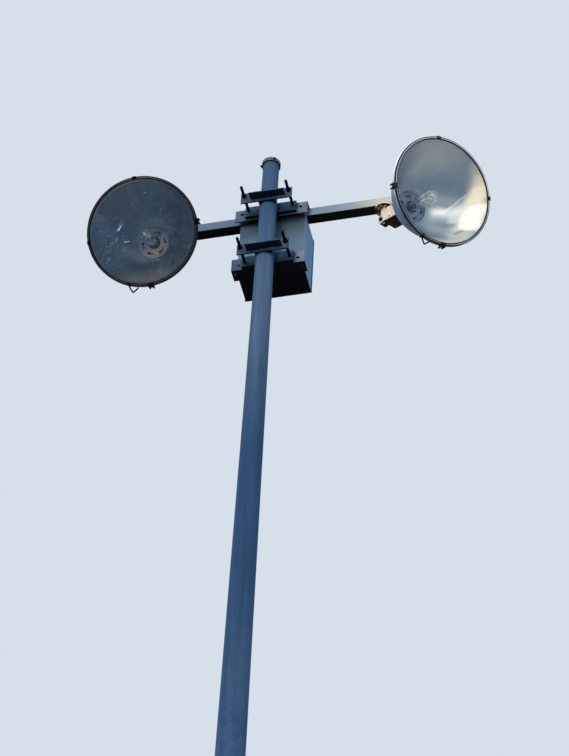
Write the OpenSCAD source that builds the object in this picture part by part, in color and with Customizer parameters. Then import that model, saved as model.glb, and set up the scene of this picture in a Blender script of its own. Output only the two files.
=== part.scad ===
// Two-lamp floodlight pole: tapered steel shaft, clamped cross arm and gear box, two round floodlights.
// Millimetres. Origin at the centre of the base plate's underside, +Z up, +X along the arm.
// The lamps face -Y.

/* [Pole shaft] */
// Height of the top of the shaft above the underside of the base plate
pole_h = 12174; // [9000:1:15000]
// Outer diameter of the shaft at its top
pole_top_d = 89; // [80:0.5:110]
// Outer diameter of the shaft at its foot
pole_foot_d = 231; // [180:1:260]
// Wall of the shaft
pole_wall = 4; // [3:0.1:6]

/* [Base plate] */
// Side of the square base plate
base_w = 340; // [320:5:400]
// Thickness of the base plate
base_t = 25; // [16:1:32]
// Diameter of the circle through the four anchor bolt holes
anchor_circle_d = 340; // [330:2:360]
// Diameter of an anchor bolt hole
anchor_hole_d = 27; // [20:1:32]

/* [Hand hole] */
// Height of the middle of the hand hole
hand_hole_z = 560; // [400:10:900]
// Width of the hand hole
hand_hole_w = 90; // [60:1:110]
// Height of the hand hole
hand_hole_h = 150; // [120:1:200]
// Width of the welded frame round the hand hole
hand_frame_w = 14; // [8:1:20]
// Thickness of the hand hole cover
hand_cover_t = 3; // [2:0.5:5]

/* [Pole cap] */
// Depth of the skirt of the cap over the top of the shaft
cap_skirt = 20; // [16:1:60]
// Wall of the cap
cap_wall = 7; // [3:0.5:8]
// Rise of the dished top of the cap
cap_rise = 11; // [8:0.5:20]
// Diameter of the cap's set screws
cap_screw_d = 9; // [6:0.5:12]
// Diameter of the heads of the cap's set screws
cap_head_d = 14; // [10:0.5:18]

/* [Clamps] */
// Drop from the top of the shaft to the upper clamp rods
upper_rod_drop = 316; // [200:1:600]
// Distance between the two rods of one clamp
rod_pitch = 248; // [200:1:280]
// Diameter of a clamp rod
rod_d = 15.9; // [12:0.1:20]
// Reach of the rods in front of the shaft's axis
rod_front = 131; // [100:1:180]
// Width of a clamp nut across its flats
nut_flats = 24; // [20:0.5:32]
// Thickness of a clamp nut
nut_t = 13; // [8:0.2:16]
// Length of the clamp bars
bar_l = 285; // [270:1:320]
// Height of the clamp bars
bar_h = 78; // [60:1:90]
// Thickness of the front clamp plate
plate_t = 8; // [5:0.5:12]
// Distance from the shaft's axis to the back of the front clamp plate
plate_back = 50; // [49.5:0.5:60]
// How far the rib of the front clamp stands out
rib_reach = 46; // [20:1:55]
// Length of the rib of the front clamp
rib_l = 195; // [120:1:210]
// Shift of the rib along its plate
rib_shift = 9; // [-20:1:20]
// Height of the rib above the lower edge of its plate
rib_rise = 20; // [10:1:40]
// Thickness of the rib
rib_t = 6.4; // [4:0.2:10]
// Drop from the clamp rods to the middle of the clamp bars
bar_drop = 10; // [0:1:15]

/* [Rear angles] */
// Length of the rear angles
angle_l = 406; // [380:1:460]
// Upright leg of the rear angles
angle_leg_v = 89; // [80:1:100]
// Level leg of the rear angles
angle_leg_h = 76; // [60:1:90]
// Thickness of the rear angles
angle_t = 6.4; // [5:0.1:8]
// Distance from the shaft's axis to the front of the rear angles
angle_front = 65; // [60:1:75]
// Distance from the outer face of the level leg to the rods
rod_edge = 35; // [30:1:45]
// Diameter of the spare holes near the ends of the rear angles
tab_hole_d = 18; // [8:0.5:22]
// Distance between the spare holes
tab_hole_pitch = 329; // [310:1:350]

/* [Cross arm] */
// Length of the cross arm
arm_l = 1370; // [1300:5:1600]
// Side of the square tube
arm_w = 63.5; // [50:0.5:80]
// Wall of the square tube
arm_wall = 4; // [3:0.5:6]
// Outer radius of the corners of the square tube
arm_corner = 5; // [1:0.5:8]
// Distance from the shaft's axis to the front of the arm
arm_front = 109.5; // [105:0.5:130]

/* [Gear box] */
// Width of the gear box
box_w = 366; // [300:1:380]
// Height of the gear box
box_h = 412; // [350:1:500]
// Depth of the gear box without its cover
box_d = 205; // [150:1:260]
// Shift of the gear box along the arm
box_shift = 5; // [-10:1:10]
// Distance from the shaft's axis to the front of the gear box
box_front = 95; // [95:1:110]
// Wall of the gear box
box_wall = 2; // [1.5:0.1:4]
// Thickness of the rear cover's turned rim
cover_rim = 12; // [8:1:20]

/* [Lamp places] */
// Distance from the arm's left end to the left lamp's swivel
left_inset = 66; // [55:1:120]
// Distance from the arm's right end to the right lamp's swivel
right_inset = 66; // [55:1:120]
// Drop from the underside of the arm to the tilt axis
tilt_drop = 101; // [96:1:120]
// Swing of the left lamp from straight ahead, towards the right
left_pan = 3; // [-10:0.5:15]
// Swing of the right lamp from straight ahead, towards the right
right_pan = 48; // [0:0.5:60]
// Downward tilt of the left lamp
left_tilt = 36; // [10:0.5:60]
// Downward tilt of the right lamp
right_tilt = 24; // [10:0.5:60]
// Turn of the side latch round the left lamp, from the lamp's right side upwards
left_latch_turn = 4.5; // [-10:0.5:20]
// Turn of the side latch round the right lamp
right_latch_turn = 203; // [190:0.5:210]
// Turn of the lower latch round the left lamp
left_low_turn = 276; // [272:0.5:300]
// Turn of the lower latch round the right lamp
right_low_turn = 287.5; // [280:0.5:300]
// Turn of the bail round the left lamp
left_bail_turn = 258; // [250:0.5:260]
// Turn of the bail round the right lamp
right_bail_turn = 267.5; // [260:0.5:268]

/* [Lamps] */
// Outer diameter of a lens ring
ring_d = 599; // [560:1:660]
// Distance from the tilt axis to the neck of a reflector
neck_dist = 262; // [250:1:300]
// Depth of a reflector from its neck to its mouth
bowl_depth = 292; // [240:1:330]
// Fullness of a reflector's curve, where 1 is a paraboloid and less is fuller
bowl_power = 0.9; // [0.7:0.05:1.1]
// Diameter of the neck of a reflector
neck_d = 176; // [150:1:200]
// Wall of a reflector
bowl_wall = 2; // [1.5:0.1:3]
// Width of a lens ring along the lamp's axis
ring_w = 24; // [16:1:36]
// How far a lens ring laps over the glass
ring_lap = 11; // [8:1:20]
// Wall of a lens ring
ring_wall = 2.5; // [2:0.1:4]
// Thickness of a lens
lens_t = 5; // [4:0.5:8]
// Rise of a lens in its middle
lens_rise = 22; // [10:1:40]
// Diameter of a bulb
bulb_d = 70; // [60:1:100]
// Reach of a bulb in front of the neck
bulb_reach = 240; // [200:1:260]
// Diameter of the round opening in the neck plate
socket_d = 68; // [62:1:76]
// Width of the rear housing
housing_w = 90; // [84:1:100]
// Height of the rear housing
housing_h = 98; // [90:1:110]
// Distance from the tilt axis to the back of the rear housing
housing_back = 70; // [66:1:90]
// Diameter of the swivel disc under the arm
swivel_d = 106; // [96:1:116]
// Thickness of the swivel disc
swivel_t = 9; // [8:1:12]
// Width of the tongue between the two swivel ears
tongue_w = 21; // [18:1:30]
// Thickness of a swivel ear
ear_t = 10; // [8:0.5:12]
// Width of a swivel ear where it leaves the disc
ear_w = 34; // [28:1:44]
// Radius of the knuckle round the tilt axis
knuckle_r = 27; // [22:1:30]
// Diameter of the tilt bolt
tilt_bolt_d = 14; // [10:0.5:16]
// Width of the tilt bolt's head across its flats
tilt_head_flats = 22; // [18:0.5:26]
// Width of a latch along the ring
latch_w = 30; // [20:1:40]
// Width of a plain clip along the ring
clip_w = 22; // [12:1:40]
// Thickness of a clip
clip_t = 2; // [1.5:0.5:5]
// How far a latch stands out from its ring
latch_out = 13; // [8:1:24]
// Width of the wire bail
bail_w = 48; // [30:1:60]
// Reach of the wire bail
bail_reach = 31; // [20:1:40]
// Diameter of the bail's wire
bail_wire = 5; // [3:0.5:6]

/* [Hidden] */
$fn = 96;

// Gap that keeps two seated pieces from sharing space
seat = 0.2;
// Overshoot of a cut past the face that it opens
past = 1;

galvanised = "#8f9aa5";
dark_steel = "#3f4348";
box_grey = "#a4a8a6";
aluminium = "#b4b8ba";
rust = "#6b4a35";
glass_tint = "#c9d6de";
rubber = "#1e1e20";
porcelain = "#d8d4c8";

// Pole shaft
pole_foot_z = base_t;
slope = (pole_foot_d - pole_top_d) / 2 / (pole_h - pole_foot_z);
function pole_r(z) = pole_top_d / 2 + slope * (pole_h - z);

// Levels of the clamp, arm and box stack
upper_rod_z = pole_h - upper_rod_drop;
stack_top = upper_rod_z + rod_edge;
arm_top = stack_top - angle_t;
arm_bottom = arm_top - arm_w;
box_top = arm_bottom;
box_bottom = box_top - box_h;
stack_bottom = box_bottom - angle_t;
lower_rod_z = stack_bottom + rod_edge;
angle_back = angle_front + angle_t;
rod_past_nut = 4;
rod_play = 1;
rod_back = angle_back + seat + nut_t + rod_past_nut;
arm_mid_y = arm_front + arm_w / 2;
box_back = box_front + box_d;
leg_hole_d = 8;
leg_hole_in = 16;
leg_hole_back = 25;
jaw_depth = 19;
jaw_front = angle_front - jaw_depth;
jaw_wall = 6.4;
saddle_edge = 1.2;
saddle_w = 2 * (pole_r(lower_rod_z) - saddle_edge);
saddle_h = 56;
saddle_back = 10;

// Shaft details
hand_r = pole_r(hand_hole_z - hand_hole_h);
frame_out = 4;
frame_in = 26;
cover_edge = 3;
cover_screw_d = 12;
cover_screw_t = 4;
cap_gap = 0.8;
cap_r = pole_r(pole_h) + cap_gap;
cap_screw_z = pole_h - cap_screw_d;
cap_head_t = 7;
cap_screw_turns = [186, 303];

// Places of the swivels
left_x = -(arm_l / 2 - left_inset);
right_x = arm_l / 2 - right_inset;
tilt_z = arm_bottom - tilt_drop;
swivel_gap = 0.3;
swivel_stud_d = 16;
stud_play = 1;

// Reflector, lens and ring, all along the lamp's axis from the tilt axis
ring_in = ring_d / 2 - ring_wall;
bowl_flange = 7;
bowl_r = ring_in - bowl_flange;
bowl_steps = 16;
mouth_z = neck_dist + bowl_depth;
lens_play = 1.5;
lens_r = ring_in - lens_play;
lens_ball_r = (lens_r * lens_r + lens_rise * lens_rise) / (2 * lens_rise);
// Height of the lens's inner face above its edge, at a distance r from its middle
function lens_face(r) = sqrt(lens_ball_r * lens_ball_r - r * r) - lens_ball_r + lens_rise;
lip_r = ring_d / 2 - ring_lap;
gasket_show = 5;
gasket_r = lip_r - gasket_show;
gasket_t = 2;
gasket_back = mouth_z + seat + lens_t + lens_face(gasket_r) + seat;
ring_front = gasket_back + gasket_t + seat + ring_wall;

// Rear housing, its socket bore and the pocket behind the vent slots
bore_depth = 130;
neck_overhang = 8;
collar_d = neck_d - 2 * neck_overhang;
collar_t = 24;
pocket_wall = 5;
pocket_depth = 19;
bolt_play = 0.6;

holder_l = 66;
holder_floor = 12;
bulb_base_d = 39;
bulb_tip = 60;

// Steps round the ring: side latch to top clip, side latch to far clip, bail to small clip
top_clip_step = 90.5;
far_clip_step = 182.5;
small_clip_step = 5;
small_clip_w = 16;

// The whole cone of the shaft, grown by a clearance, for what is cut to seat on it
module shaft_cone(grow) {
    translate([0, 0, pole_foot_z])
        cylinder(h = pole_h - pole_foot_z, r1 = pole_r(pole_foot_z) + grow, r2 = pole_r(pole_h) + grow);
}

// Outline of a square with round corners, centred on the origin
module round_square(w, h, r) {
    square([w - 2 * r, h], center = true);
    square([w, h - 2 * r], center = true);
    for (x = [-1, 1], y = [-1, 1]) translate([x * (w / 2 - r), y * (h / 2 - r)]) circle(r);
}

module base_plate() color(galvanised) {
    corner_r = 20;
    difference() {
        linear_extrude(base_t) round_square(base_w, base_w, corner_r);
        for (a = [45 : 90 : 315])
            rotate([0, 0, a]) translate([anchor_circle_d / 2, 0, -past])
                cylinder(h = base_t + 2 * past, d = anchor_hole_d);
    }
}

// Outline of the hand hole, with straight sides and round ends
module hand_hole_outline(grow) {
    r = hand_hole_w / 2 + grow;
    run = hand_hole_h / 2 - hand_hole_w / 2;
    for (s = [-1, 1]) translate([0, s * run]) circle(r);
    square([2 * r, 2 * run], center = true);
}

module hand_hole_prism(grow, from, to) {
    translate([0, from, hand_hole_z]) rotate([-90, 0, 0]) linear_extrude(to - from) hand_hole_outline(grow);
}

module pole_shaft() color(galvanised) {
    difference() {
        shaft_cone(0);
        translate([0, 0, pole_foot_z - past])
            cylinder(
                h = pole_h - pole_foot_z + 2 * past,
                r1 = pole_r(pole_foot_z - past) - pole_wall,
                r2 = pole_r(pole_h + past) - pole_wall
            );
        hand_hole_prism(0, hand_r / 2, hand_r + past);
    }
}

// Frame welded round the hand hole on the back of the shaft
module hand_hole_frame() color(galvanised) {
    difference() {
        hand_hole_prism(hand_frame_w, hand_r - frame_in, hand_r + frame_out);
        hand_hole_prism(0, hand_r / 2, hand_r + frame_out + past);
        shaft_cone(seat);
    }
}

module hand_hole_cover() color(galvanised) {
    cover_front = hand_r + frame_out + seat;
    hand_hole_prism(hand_frame_w - cover_edge, cover_front, cover_front + hand_cover_t);
    for (s = [-1, 1])
        translate([0, cover_front + hand_cover_t, hand_hole_z + s * (hand_hole_h / 2 - cover_screw_d)])
            rotate([-90, 0, 0]) cylinder(h = cover_screw_t, d = cover_screw_d);
}

module pole_cap() color(galvanised) {
    shoulder = pole_h + cap_rise / 2;
    difference() {
        rotate_extrude() polygon([
            [0, pole_h + seat],
            [cap_r, pole_h + seat],
            [cap_r, pole_h - cap_skirt],
            [cap_r + cap_wall, pole_h - cap_skirt],
            [cap_r + cap_wall, shoulder],
            [cap_r + cap_wall / 2, shoulder + cap_rise / 4],
            [cap_r / 2, pole_h + cap_rise],
            [0, pole_h + cap_rise]
        ]);
        for (a = cap_screw_turns)
            rotate([0, 0, a]) translate([cap_r - past, 0, cap_screw_z])
                rotate([0, 90, 0]) cylinder(h = cap_wall + 2 * past, d = cap_screw_d + 2 * seat);
    }
}

module cap_screws() color(dark_steel) {
    for (a = cap_screw_turns)
        rotate([0, 0, a]) translate([pole_r(pole_h) + 2 * seat, 0, cap_screw_z]) rotate([0, 90, 0]) {
            cylinder(h = cap_gap + cap_wall + cap_head_t, d = cap_screw_d);
            translate([0, 0, cap_gap + cap_wall]) cylinder(h = cap_head_t, d = cap_head_d);
        }
}

// Angle with its corner at the origin: one leg up, one leg to the back
module angle_profile() {
    difference() {
        square([angle_leg_h, angle_leg_v]);
        translate([angle_t, angle_t]) square([angle_leg_h, angle_leg_v]);
    }
}

module rod_holes(z, from, to) {
    for (x = [-1, 1])
        translate([x * rod_pitch / 2, from, z]) rotate([-90, 0, 0])
            cylinder(h = to - from, d = rod_d + rod_play);
}

// The lower angle stands on its level leg, and the upper one is its mirror image
module rear_angle(outer_z, up) color(galvanised) {
    difference() {
        translate([-angle_l / 2, angle_front, outer_z]) mirror([0, 0, up ? 0 : 1])
            rotate([90, 0, 90]) linear_extrude(angle_l) angle_profile();
        rod_holes(outer_z + (up ? 1 : -1) * rod_edge, angle_front - past, angle_back + past);
        for (x = [-1, 1]) {
            translate([x * tab_hole_pitch / 2, angle_front - past, outer_z + (up ? 1 : -1) * rod_edge])
                rotate([-90, 0, 0]) cylinder(h = angle_t + 2 * past, d = tab_hole_d);
            translate([x * (angle_l / 2 - leg_hole_in), angle_back + leg_hole_back, outer_z])
                cylinder(h = 2 * (angle_t + past), d = leg_hole_d, center = true);
        }
    }
}

// Channel behind the shaft, its web towards the shaft
module rear_jaw(rod_z, up) color(galvanised) {
    mid = rod_z + (up ? 1 : -1) * bar_drop / 2;
    difference() {
        translate([-bar_l / 2, jaw_front, mid - bar_h / 2]) cube([bar_l, jaw_depth - seat, bar_h]);
        translate([-bar_l / 2 - past, jaw_front + jaw_wall, mid - bar_h / 2 + jaw_wall])
            cube([bar_l + 2 * past, angle_front, bar_h - 2 * jaw_wall]);
        shaft_cone(seat);
        rod_holes(rod_z, jaw_front - past, angle_front);
    }
}

// Plate across the front of the shaft, with a saddle behind it and a rib before it
module front_clamp(rod_z) color(galvanised) {
    mid = rod_z - bar_drop;
    low = mid - bar_h / 2;
    difference() {
        union() {
            translate([-bar_l / 2, -plate_back - plate_t, low]) cube([bar_l, plate_t, bar_h]);
            translate([rib_shift - rib_l / 2, -plate_back - plate_t - rib_reach, low + rib_rise])
                cube([rib_l, rib_reach + plate_t / 2, rib_t]);
            translate([-saddle_w / 2, -plate_back - plate_t / 2, mid - saddle_h / 2])
                cube([saddle_w, plate_back + plate_t / 2 - saddle_back, saddle_h]);
        }
        shaft_cone(seat);
        rod_holes(rod_z, -plate_back - plate_t - past, -plate_back + past);
    }
}

module clamp_rods(rod_z) color(dark_steel) {
    for (x = [-1, 1])
        translate([x * rod_pitch / 2, -rod_front, rod_z]) rotate([-90, 0, 0])
            cylinder(h = rod_front + rod_back, d = rod_d);
}

module hex_nut(thick, flats, bore) {
    difference() {
        cylinder(h = thick, d = flats / cos(30), $fn = 6);
        translate([0, 0, -past]) cylinder(h = thick + 2 * past, d = bore);
    }
}

module clamp_nuts(rod_z) color(dark_steel) {
    for (x = [-1, 1], y = [-plate_back - plate_t - seat - nut_t, angle_back + seat])
        translate([x * rod_pitch / 2, y, rod_z]) rotate([-90, 0, 0])
            hex_nut(nut_t, nut_flats, rod_d + 2 * seat);
}

// Bar with the outline of the arm, from one place along the arm to another
module arm_bar(from, to, w, r) {
    translate([from, arm_mid_y, arm_bottom]) rotate([90, 0, 90]) linear_extrude(to - from)
        translate([0, arm_w / 2]) round_square(w, w, r);
}

module cross_arm() color(galvanised) {
    bore_w = arm_w - 2 * arm_wall;
    difference() {
        arm_bar(-arm_l / 2, arm_l / 2, arm_w, arm_corner);
        translate([-arm_l / 2 - past, arm_mid_y - bore_w / 2, arm_bottom + arm_wall])
            cube([arm_l + 2 * past, bore_w, bore_w]);
        for (x = [left_x, right_x])
            translate([x, arm_mid_y, arm_bottom - past])
                cylinder(h = arm_wall + 2 * past, d = swivel_stud_d + stud_play);
    }
}

module arm_end_caps() color(dark_steel) {
    cap_t = 3;
    arm_bar(-arm_l / 2 - cap_t, -arm_l / 2, arm_w, arm_corner);
    arm_bar(arm_l / 2, arm_l / 2 + cap_t, arm_w, arm_corner);
}

module gear_box() color(box_grey) {
    difference() {
        translate([box_shift - box_w / 2, box_front, box_bottom + seat])
            cube([box_w, box_d, box_h - 2 * seat]);
        translate([box_shift - box_w / 2 + box_wall, box_front + box_wall, box_bottom + seat + box_wall])
            cube([box_w - 2 * box_wall, box_d, box_h - 2 * seat - 2 * box_wall]);
    }
}

module gear_box_cover() color(box_grey) {
    lap = 2;
    grow = lap + seat;
    difference() {
        translate([box_shift - box_w / 2 - grow, box_back - cover_rim, box_bottom - grow])
            cube([box_w + 2 * grow, cover_rim + box_wall + seat, box_h + 2 * grow]);
        translate([box_shift - box_w / 2 - seat, box_back - cover_rim - past, box_bottom - seat])
            cube([box_w + 2 * seat, cover_rim + past + seat, box_h + 2 * seat]);
    }
}

// Tilt axis frame of one lamp: pan about Z, tilt about X, the lamp looks along -Y
module at_swivel(x, pan) {
    translate([x, arm_mid_y, tilt_z]) rotate([0, 0, pan]) children();
}

// Optic frame: +Z forward along the lamp's axis, +Y up, +X to the right
module at_optic(x, pan, tilt) {
    at_swivel(x, pan) rotate([90 + tilt, 0, 0]) children();
}

// Round plate with a raised rim under the arm, and a fork of two ears that hold the tilt bolt
module swivel(x, pan) color(aluminium) at_swivel(x, pan) {
    top = tilt_drop - swivel_gap;
    rim_t = 4;
    rim_w = 7;
    stud_out = 8;
    difference() {
        union() {
            translate([0, 0, top - swivel_t]) cylinder(h = swivel_t, d = swivel_d);
            for (s = [-1, 1]) translate([s * (tongue_w + 2 * seat + ear_t) / 2, 0, 0]) {
                rotate([0, 90, 0]) cylinder(h = ear_t, r = knuckle_r, center = true);
                translate([-ear_t / 2, -knuckle_r, 0]) cube([ear_t, ear_w, top - swivel_t + past]);
            }
        }
        translate([0, 0, top - swivel_t - past]) difference() {
            cylinder(h = rim_t + past, d = swivel_d - 2 * rim_w);
            translate([-ear_t - tongue_w / 2 - seat, -knuckle_r, -past])
                cube([2 * ear_t + tongue_w + 2 * seat, 2 * knuckle_r, rim_t + 3 * past]);
        }
        rotate([0, 90, 0]) cylinder(h = 2 * (tongue_w + ear_t), d = tilt_bolt_d + bolt_play, center = true);
    }
    translate([0, 0, top - past]) cylinder(h = arm_wall + stud_out + past, d = swivel_stud_d);
}

module tilt_bolt(x, pan) color(dark_steel) at_swivel(x, pan) {
    out = tongue_w / 2 + seat + ear_t + seat;
    head_t = 9;
    thread_out = 5;
    rotate([0, 90, 0]) {
        cylinder(h = 2 * (out + head_t + thread_out), d = tilt_bolt_d, center = true);
        for (s = [0, 1]) translate([0, 0, s * (2 * out + head_t) - out - head_t])
            cylinder(h = head_t, d = tilt_head_flats / cos(30), $fn = 6);
    }
}

// Cast box behind the reflector: a tongue at its back, a round collar in front and the bore for the socket
module housing(x, pan, tilt) color(aluminium) at_optic(x, pan, tilt) {
    edge_r = 10;
    collar_z = neck_dist - seat - collar_t;
    difference() {
        union() {
            translate([0, 0, housing_back]) linear_extrude(collar_z - housing_back + past)
                round_square(housing_w, housing_h, edge_r);
            translate([0, 0, collar_z]) cylinder(h = collar_t, d = collar_d);
            rotate([0, 90, 0]) cylinder(h = tongue_w, r = knuckle_r, center = true);
            translate([-tongue_w / 2, -knuckle_r, 0]) cube([tongue_w, 2 * knuckle_r, housing_back + past]);
        }
        translate([0, 0, neck_dist - bore_depth]) cylinder(h = bore_depth + past, d = socket_d);
        translate([0, 0, neck_dist - seat - pocket_depth]) difference() {
            cylinder(h = pocket_depth + past, d = collar_d - 2 * pocket_wall);
            translate([0, 0, -past]) cylinder(h = pocket_depth + 3 * past, d = socket_d + 2 * pocket_wall);
        }
        rotate([0, 90, 0]) cylinder(h = 2 * tongue_w, d = tilt_bolt_d + bolt_play, center = true);
    }
}

// Radius of the reflector at a share u of its depth, from the neck to the mouth
function bowl_radius(u, r0, r1) = sqrt(r0 * r0 + pow(u, bowl_power) * (r1 * r1 - r0 * r0));

module reflector(x, pan, tilt) color(aluminium) at_optic(x, pan, tilt) {
    r0 = neck_d / 2;
    rotate_extrude() polygon(concat(
        [for (i = [0 : bowl_steps - 1])
            [bowl_radius(i / bowl_steps, r0, bowl_r), neck_dist + bowl_depth * i / bowl_steps]],
        [[bowl_r, mouth_z - bowl_wall]],
        [[ring_in - past, mouth_z - bowl_wall], [ring_in - past, mouth_z], [bowl_r - bowl_wall, mouth_z]],
        [for (i = [bowl_steps - 1 : -1 : 0])
            [bowl_radius(i / bowl_steps, r0, bowl_r) - bowl_wall, neck_dist + bowl_depth * i / bowl_steps]]
    ));
}

// Round plate that holds the reflector's neck on the collar, with six vent slots round the socket
module neck_plate(x, pan, tilt) color(aluminium) at_optic(x, pan, tilt) {
    plate_h = 4;
    slot_w = 8;
    slot_run = 14;
    slot_r = (socket_d + neck_d) / 4;
    play = 0.5;
    difference() {
        translate([0, 0, neck_dist]) cylinder(h = plate_h, d = neck_d - 2 * bowl_wall - 2 * play);
        translate([0, 0, neck_dist - past]) cylinder(h = plate_h + 2 * past, d = socket_d);
        for (a = [15 : 60 : 315]) rotate([0, 0, a]) translate([slot_r, 0, neck_dist - past]) {
            translate([-slot_w / 2, -slot_run / 2, 0]) cube([slot_w, slot_run, plate_h + 2 * past]);
            for (s = [-1, 1])
                translate([0, s * slot_run / 2, 0]) cylinder(h = plate_h + 2 * past, d = slot_w);
        }
    }
}

// Porcelain socket at the bottom of the bore
module lampholder(x, pan, tilt) color(porcelain) at_optic(x, pan, tilt) {
    difference() {
        translate([0, 0, neck_dist - bore_depth + seat]) cylinder(h = holder_l, d = socket_d - 2 * seat);
        translate([0, 0, neck_dist - bore_depth + holder_floor])
            cylinder(h = holder_l, d = bulb_base_d + 2 * seat);
    }
}

// Clear bulb: screw base, narrow neck, swelling body and domed tip
module bulb(x, pan, tilt) color(glass_tint) at_optic(x, pan, tilt) {
    neck_step = 3;
    base_z = neck_dist - bore_depth + holder_floor + seat;
    tip_z = neck_dist + bulb_reach;
    r = bulb_d / 2;
    neck_r = bulb_base_d / 2 + neck_step;
    neck_z = neck_dist - bore_depth + holder_l + seat;
    body_z = tip_z - bulb_tip;
    swell = body_z - neck_dist;
    steps = 7;
    base_r = bulb_base_d / 2;
    rotate_extrude() polygon(concat(
        [[0, base_z], [base_r, base_z], [base_r, neck_z], [neck_r, neck_z]],
        [for (i = [0 : steps - 1])
            [neck_r + (r - neck_r) * sin(90 * i / steps), neck_dist + swell * i / steps]],
        [for (a = [0 : 10 : 90]) [r * cos(a), tip_z - bulb_tip * (1 - sin(a))]]
    ));
}

module lens(x, pan, tilt) color(glass_tint) at_optic(x, pan, tilt) {
    steps = 8;
    translate([0, 0, mouth_z + seat]) rotate_extrude() polygon(concat(
        [for (i = [0 : steps]) [lens_r * i / steps, lens_face(lens_r * i / steps) + lens_t]],
        [for (i = [steps : -1 : 0]) [lens_r * i / steps, lens_face(lens_r * i / steps)]]
    ));
}

// Flat ring between the glass and the lip of the lens ring
module gasket(x, pan, tilt) color(rubber) at_optic(x, pan, tilt) {
    difference() {
        translate([0, 0, gasket_back]) cylinder(h = gasket_t, r = ring_in - 2 * past);
        translate([0, 0, gasket_back - past]) cylinder(h = gasket_t + 2 * past, r = gasket_r);
    }
}

// Band round the mouth, with a lip in front that laps over the gasket and a turned edge behind
module lens_ring(x, pan, tilt) color(galvanised) at_optic(x, pan, tilt) {
    out = ring_d / 2;
    rotate_extrude() polygon([
        [ring_in, ring_front - ring_w],
        [out, ring_front - ring_w],
        [out, ring_front - ring_wall],
        [out - ring_wall, ring_front],
        [lip_r, ring_front],
        [lip_r, ring_front - ring_wall],
        [ring_in, ring_front - ring_wall]
    ]);
}

// Clip bent over the ring: a strap along its outside and a hook over its lip
module clip(w) {
    tail = 4;
    translate([ring_d / 2 + seat, -w / 2, ring_front - ring_w - tail])
        cube([clip_t, w, ring_w + tail + seat + clip_t]);
    translate([ring_d / 2 + seat - ring_lap, -w / 2, ring_front + seat])
        cube([ring_lap + clip_t, w, clip_t]);
}

// Toggle latch: a clip with a block on its back, a round pin at each end of the block and a lever between
module latch() {
    pin_d = 9;
    block = latch_out - pin_d / 2;
    clip(latch_w);
    translate([ring_d / 2 + seat + past, -latch_w / 2, ring_front - ring_w / 2 - pin_d])
        cube([block - past, latch_w, 2 * pin_d]);
    for (s = [-1, 1])
        translate([ring_d / 2 + seat + block, s * (latch_w - pin_d) / 2, ring_front - ring_w - pin_d])
            cylinder(h = ring_w + pin_d / 2, d = pin_d);
}

// Two toggle latches and three plain clips hold the ring; way is 1 or -1, the way round to the top clip
module clips(x, pan, tilt, turn, way, low_turn, bail_turn) color(rust) at_optic(x, pan, tilt) {
    for (a = [turn, low_turn]) rotate([0, 0, a]) latch();
    for (a = [top_clip_step, far_clip_step]) rotate([0, 0, turn + way * a]) clip(clip_w);
    rotate([0, 0, bail_turn - small_clip_step]) clip(small_clip_w);
}

module left_clips() clips(left_x, left_pan, left_tilt, left_latch_turn, 1, left_low_turn, left_bail_turn);

module right_clips()
    clips(right_x, right_pan, right_tilt, right_latch_turn, -1, right_low_turn, right_bail_turn);

// Wire triangle that hangs from the small clip, its point away from the ring
module bail(x, pan, tilt, bail_turn) color(dark_steel) at_optic(x, pan, tilt) {
    tip_w = bail_wire * 2;
    slit = 1;
    rotate([0, 0, bail_turn]) translate([ring_d / 2 + clip_t + 2 * seat, 0, ring_front - ring_w / 2])
        linear_extrude(bail_wire, center = true) difference() {
            polygon([[0, -bail_w / 2], [0, bail_w / 2], [bail_reach, tip_w / 2], [bail_reach, -tip_w / 2]]);
            polygon([
                [bail_wire, -bail_w / 2 + 2 * bail_wire],
                [bail_wire, bail_w / 2 - 2 * bail_wire],
                [bail_reach - bail_wire, slit],
                [bail_reach - bail_wire, -slit]
            ]);
        }
}

base_plate();
pole_shaft();
hand_hole_frame();
hand_hole_cover();
pole_cap();
cap_screws();
rear_angle(stack_top, false);  // upper_rear_angle
rear_angle(stack_bottom, true);  // lower_rear_angle
rear_jaw(upper_rod_z, false);  // upper_rear_jaw
rear_jaw(lower_rod_z, true);  // lower_rear_jaw
front_clamp(upper_rod_z);  // upper_front_clamp
front_clamp(lower_rod_z);  // lower_front_clamp
clamp_rods(upper_rod_z);  // upper_clamp_rods
clamp_rods(lower_rod_z);  // lower_clamp_rods
clamp_nuts(upper_rod_z);  // upper_clamp_nuts
clamp_nuts(lower_rod_z);  // lower_clamp_nuts
cross_arm();
arm_end_caps();
gear_box();
gear_box_cover();
swivel(left_x, left_pan);  // left_swivel
tilt_bolt(left_x, left_pan);  // left_tilt_bolt
housing(left_x, left_pan, left_tilt);  // left_housing
reflector(left_x, left_pan, left_tilt);  // left_reflector
neck_plate(left_x, left_pan, left_tilt);  // left_neck_plate
lampholder(left_x, left_pan, left_tilt);  // left_lampholder
bulb(left_x, left_pan, left_tilt);  // left_bulb
lens(left_x, left_pan, left_tilt);  // left_lens
gasket(left_x, left_pan, left_tilt);  // left_gasket
lens_ring(left_x, left_pan, left_tilt);  // left_lens_ring
left_clips();
bail(left_x, left_pan, left_tilt, left_bail_turn);  // left_bail
swivel(right_x, right_pan);  // right_swivel
tilt_bolt(right_x, right_pan);  // right_tilt_bolt
housing(right_x, right_pan, right_tilt);  // right_housing
reflector(right_x, right_pan, right_tilt);  // right_reflector
neck_plate(right_x, right_pan, right_tilt);  // right_neck_plate
lampholder(right_x, right_pan, right_tilt);  // right_lampholder
bulb(right_x, right_pan, right_tilt);  // right_bulb
lens(right_x, right_pan, right_tilt);  // right_lens
gasket(right_x, right_pan, right_tilt);  // right_gasket
lens_ring(right_x, right_pan, right_tilt);  // right_lens_ring
right_clips();
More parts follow.
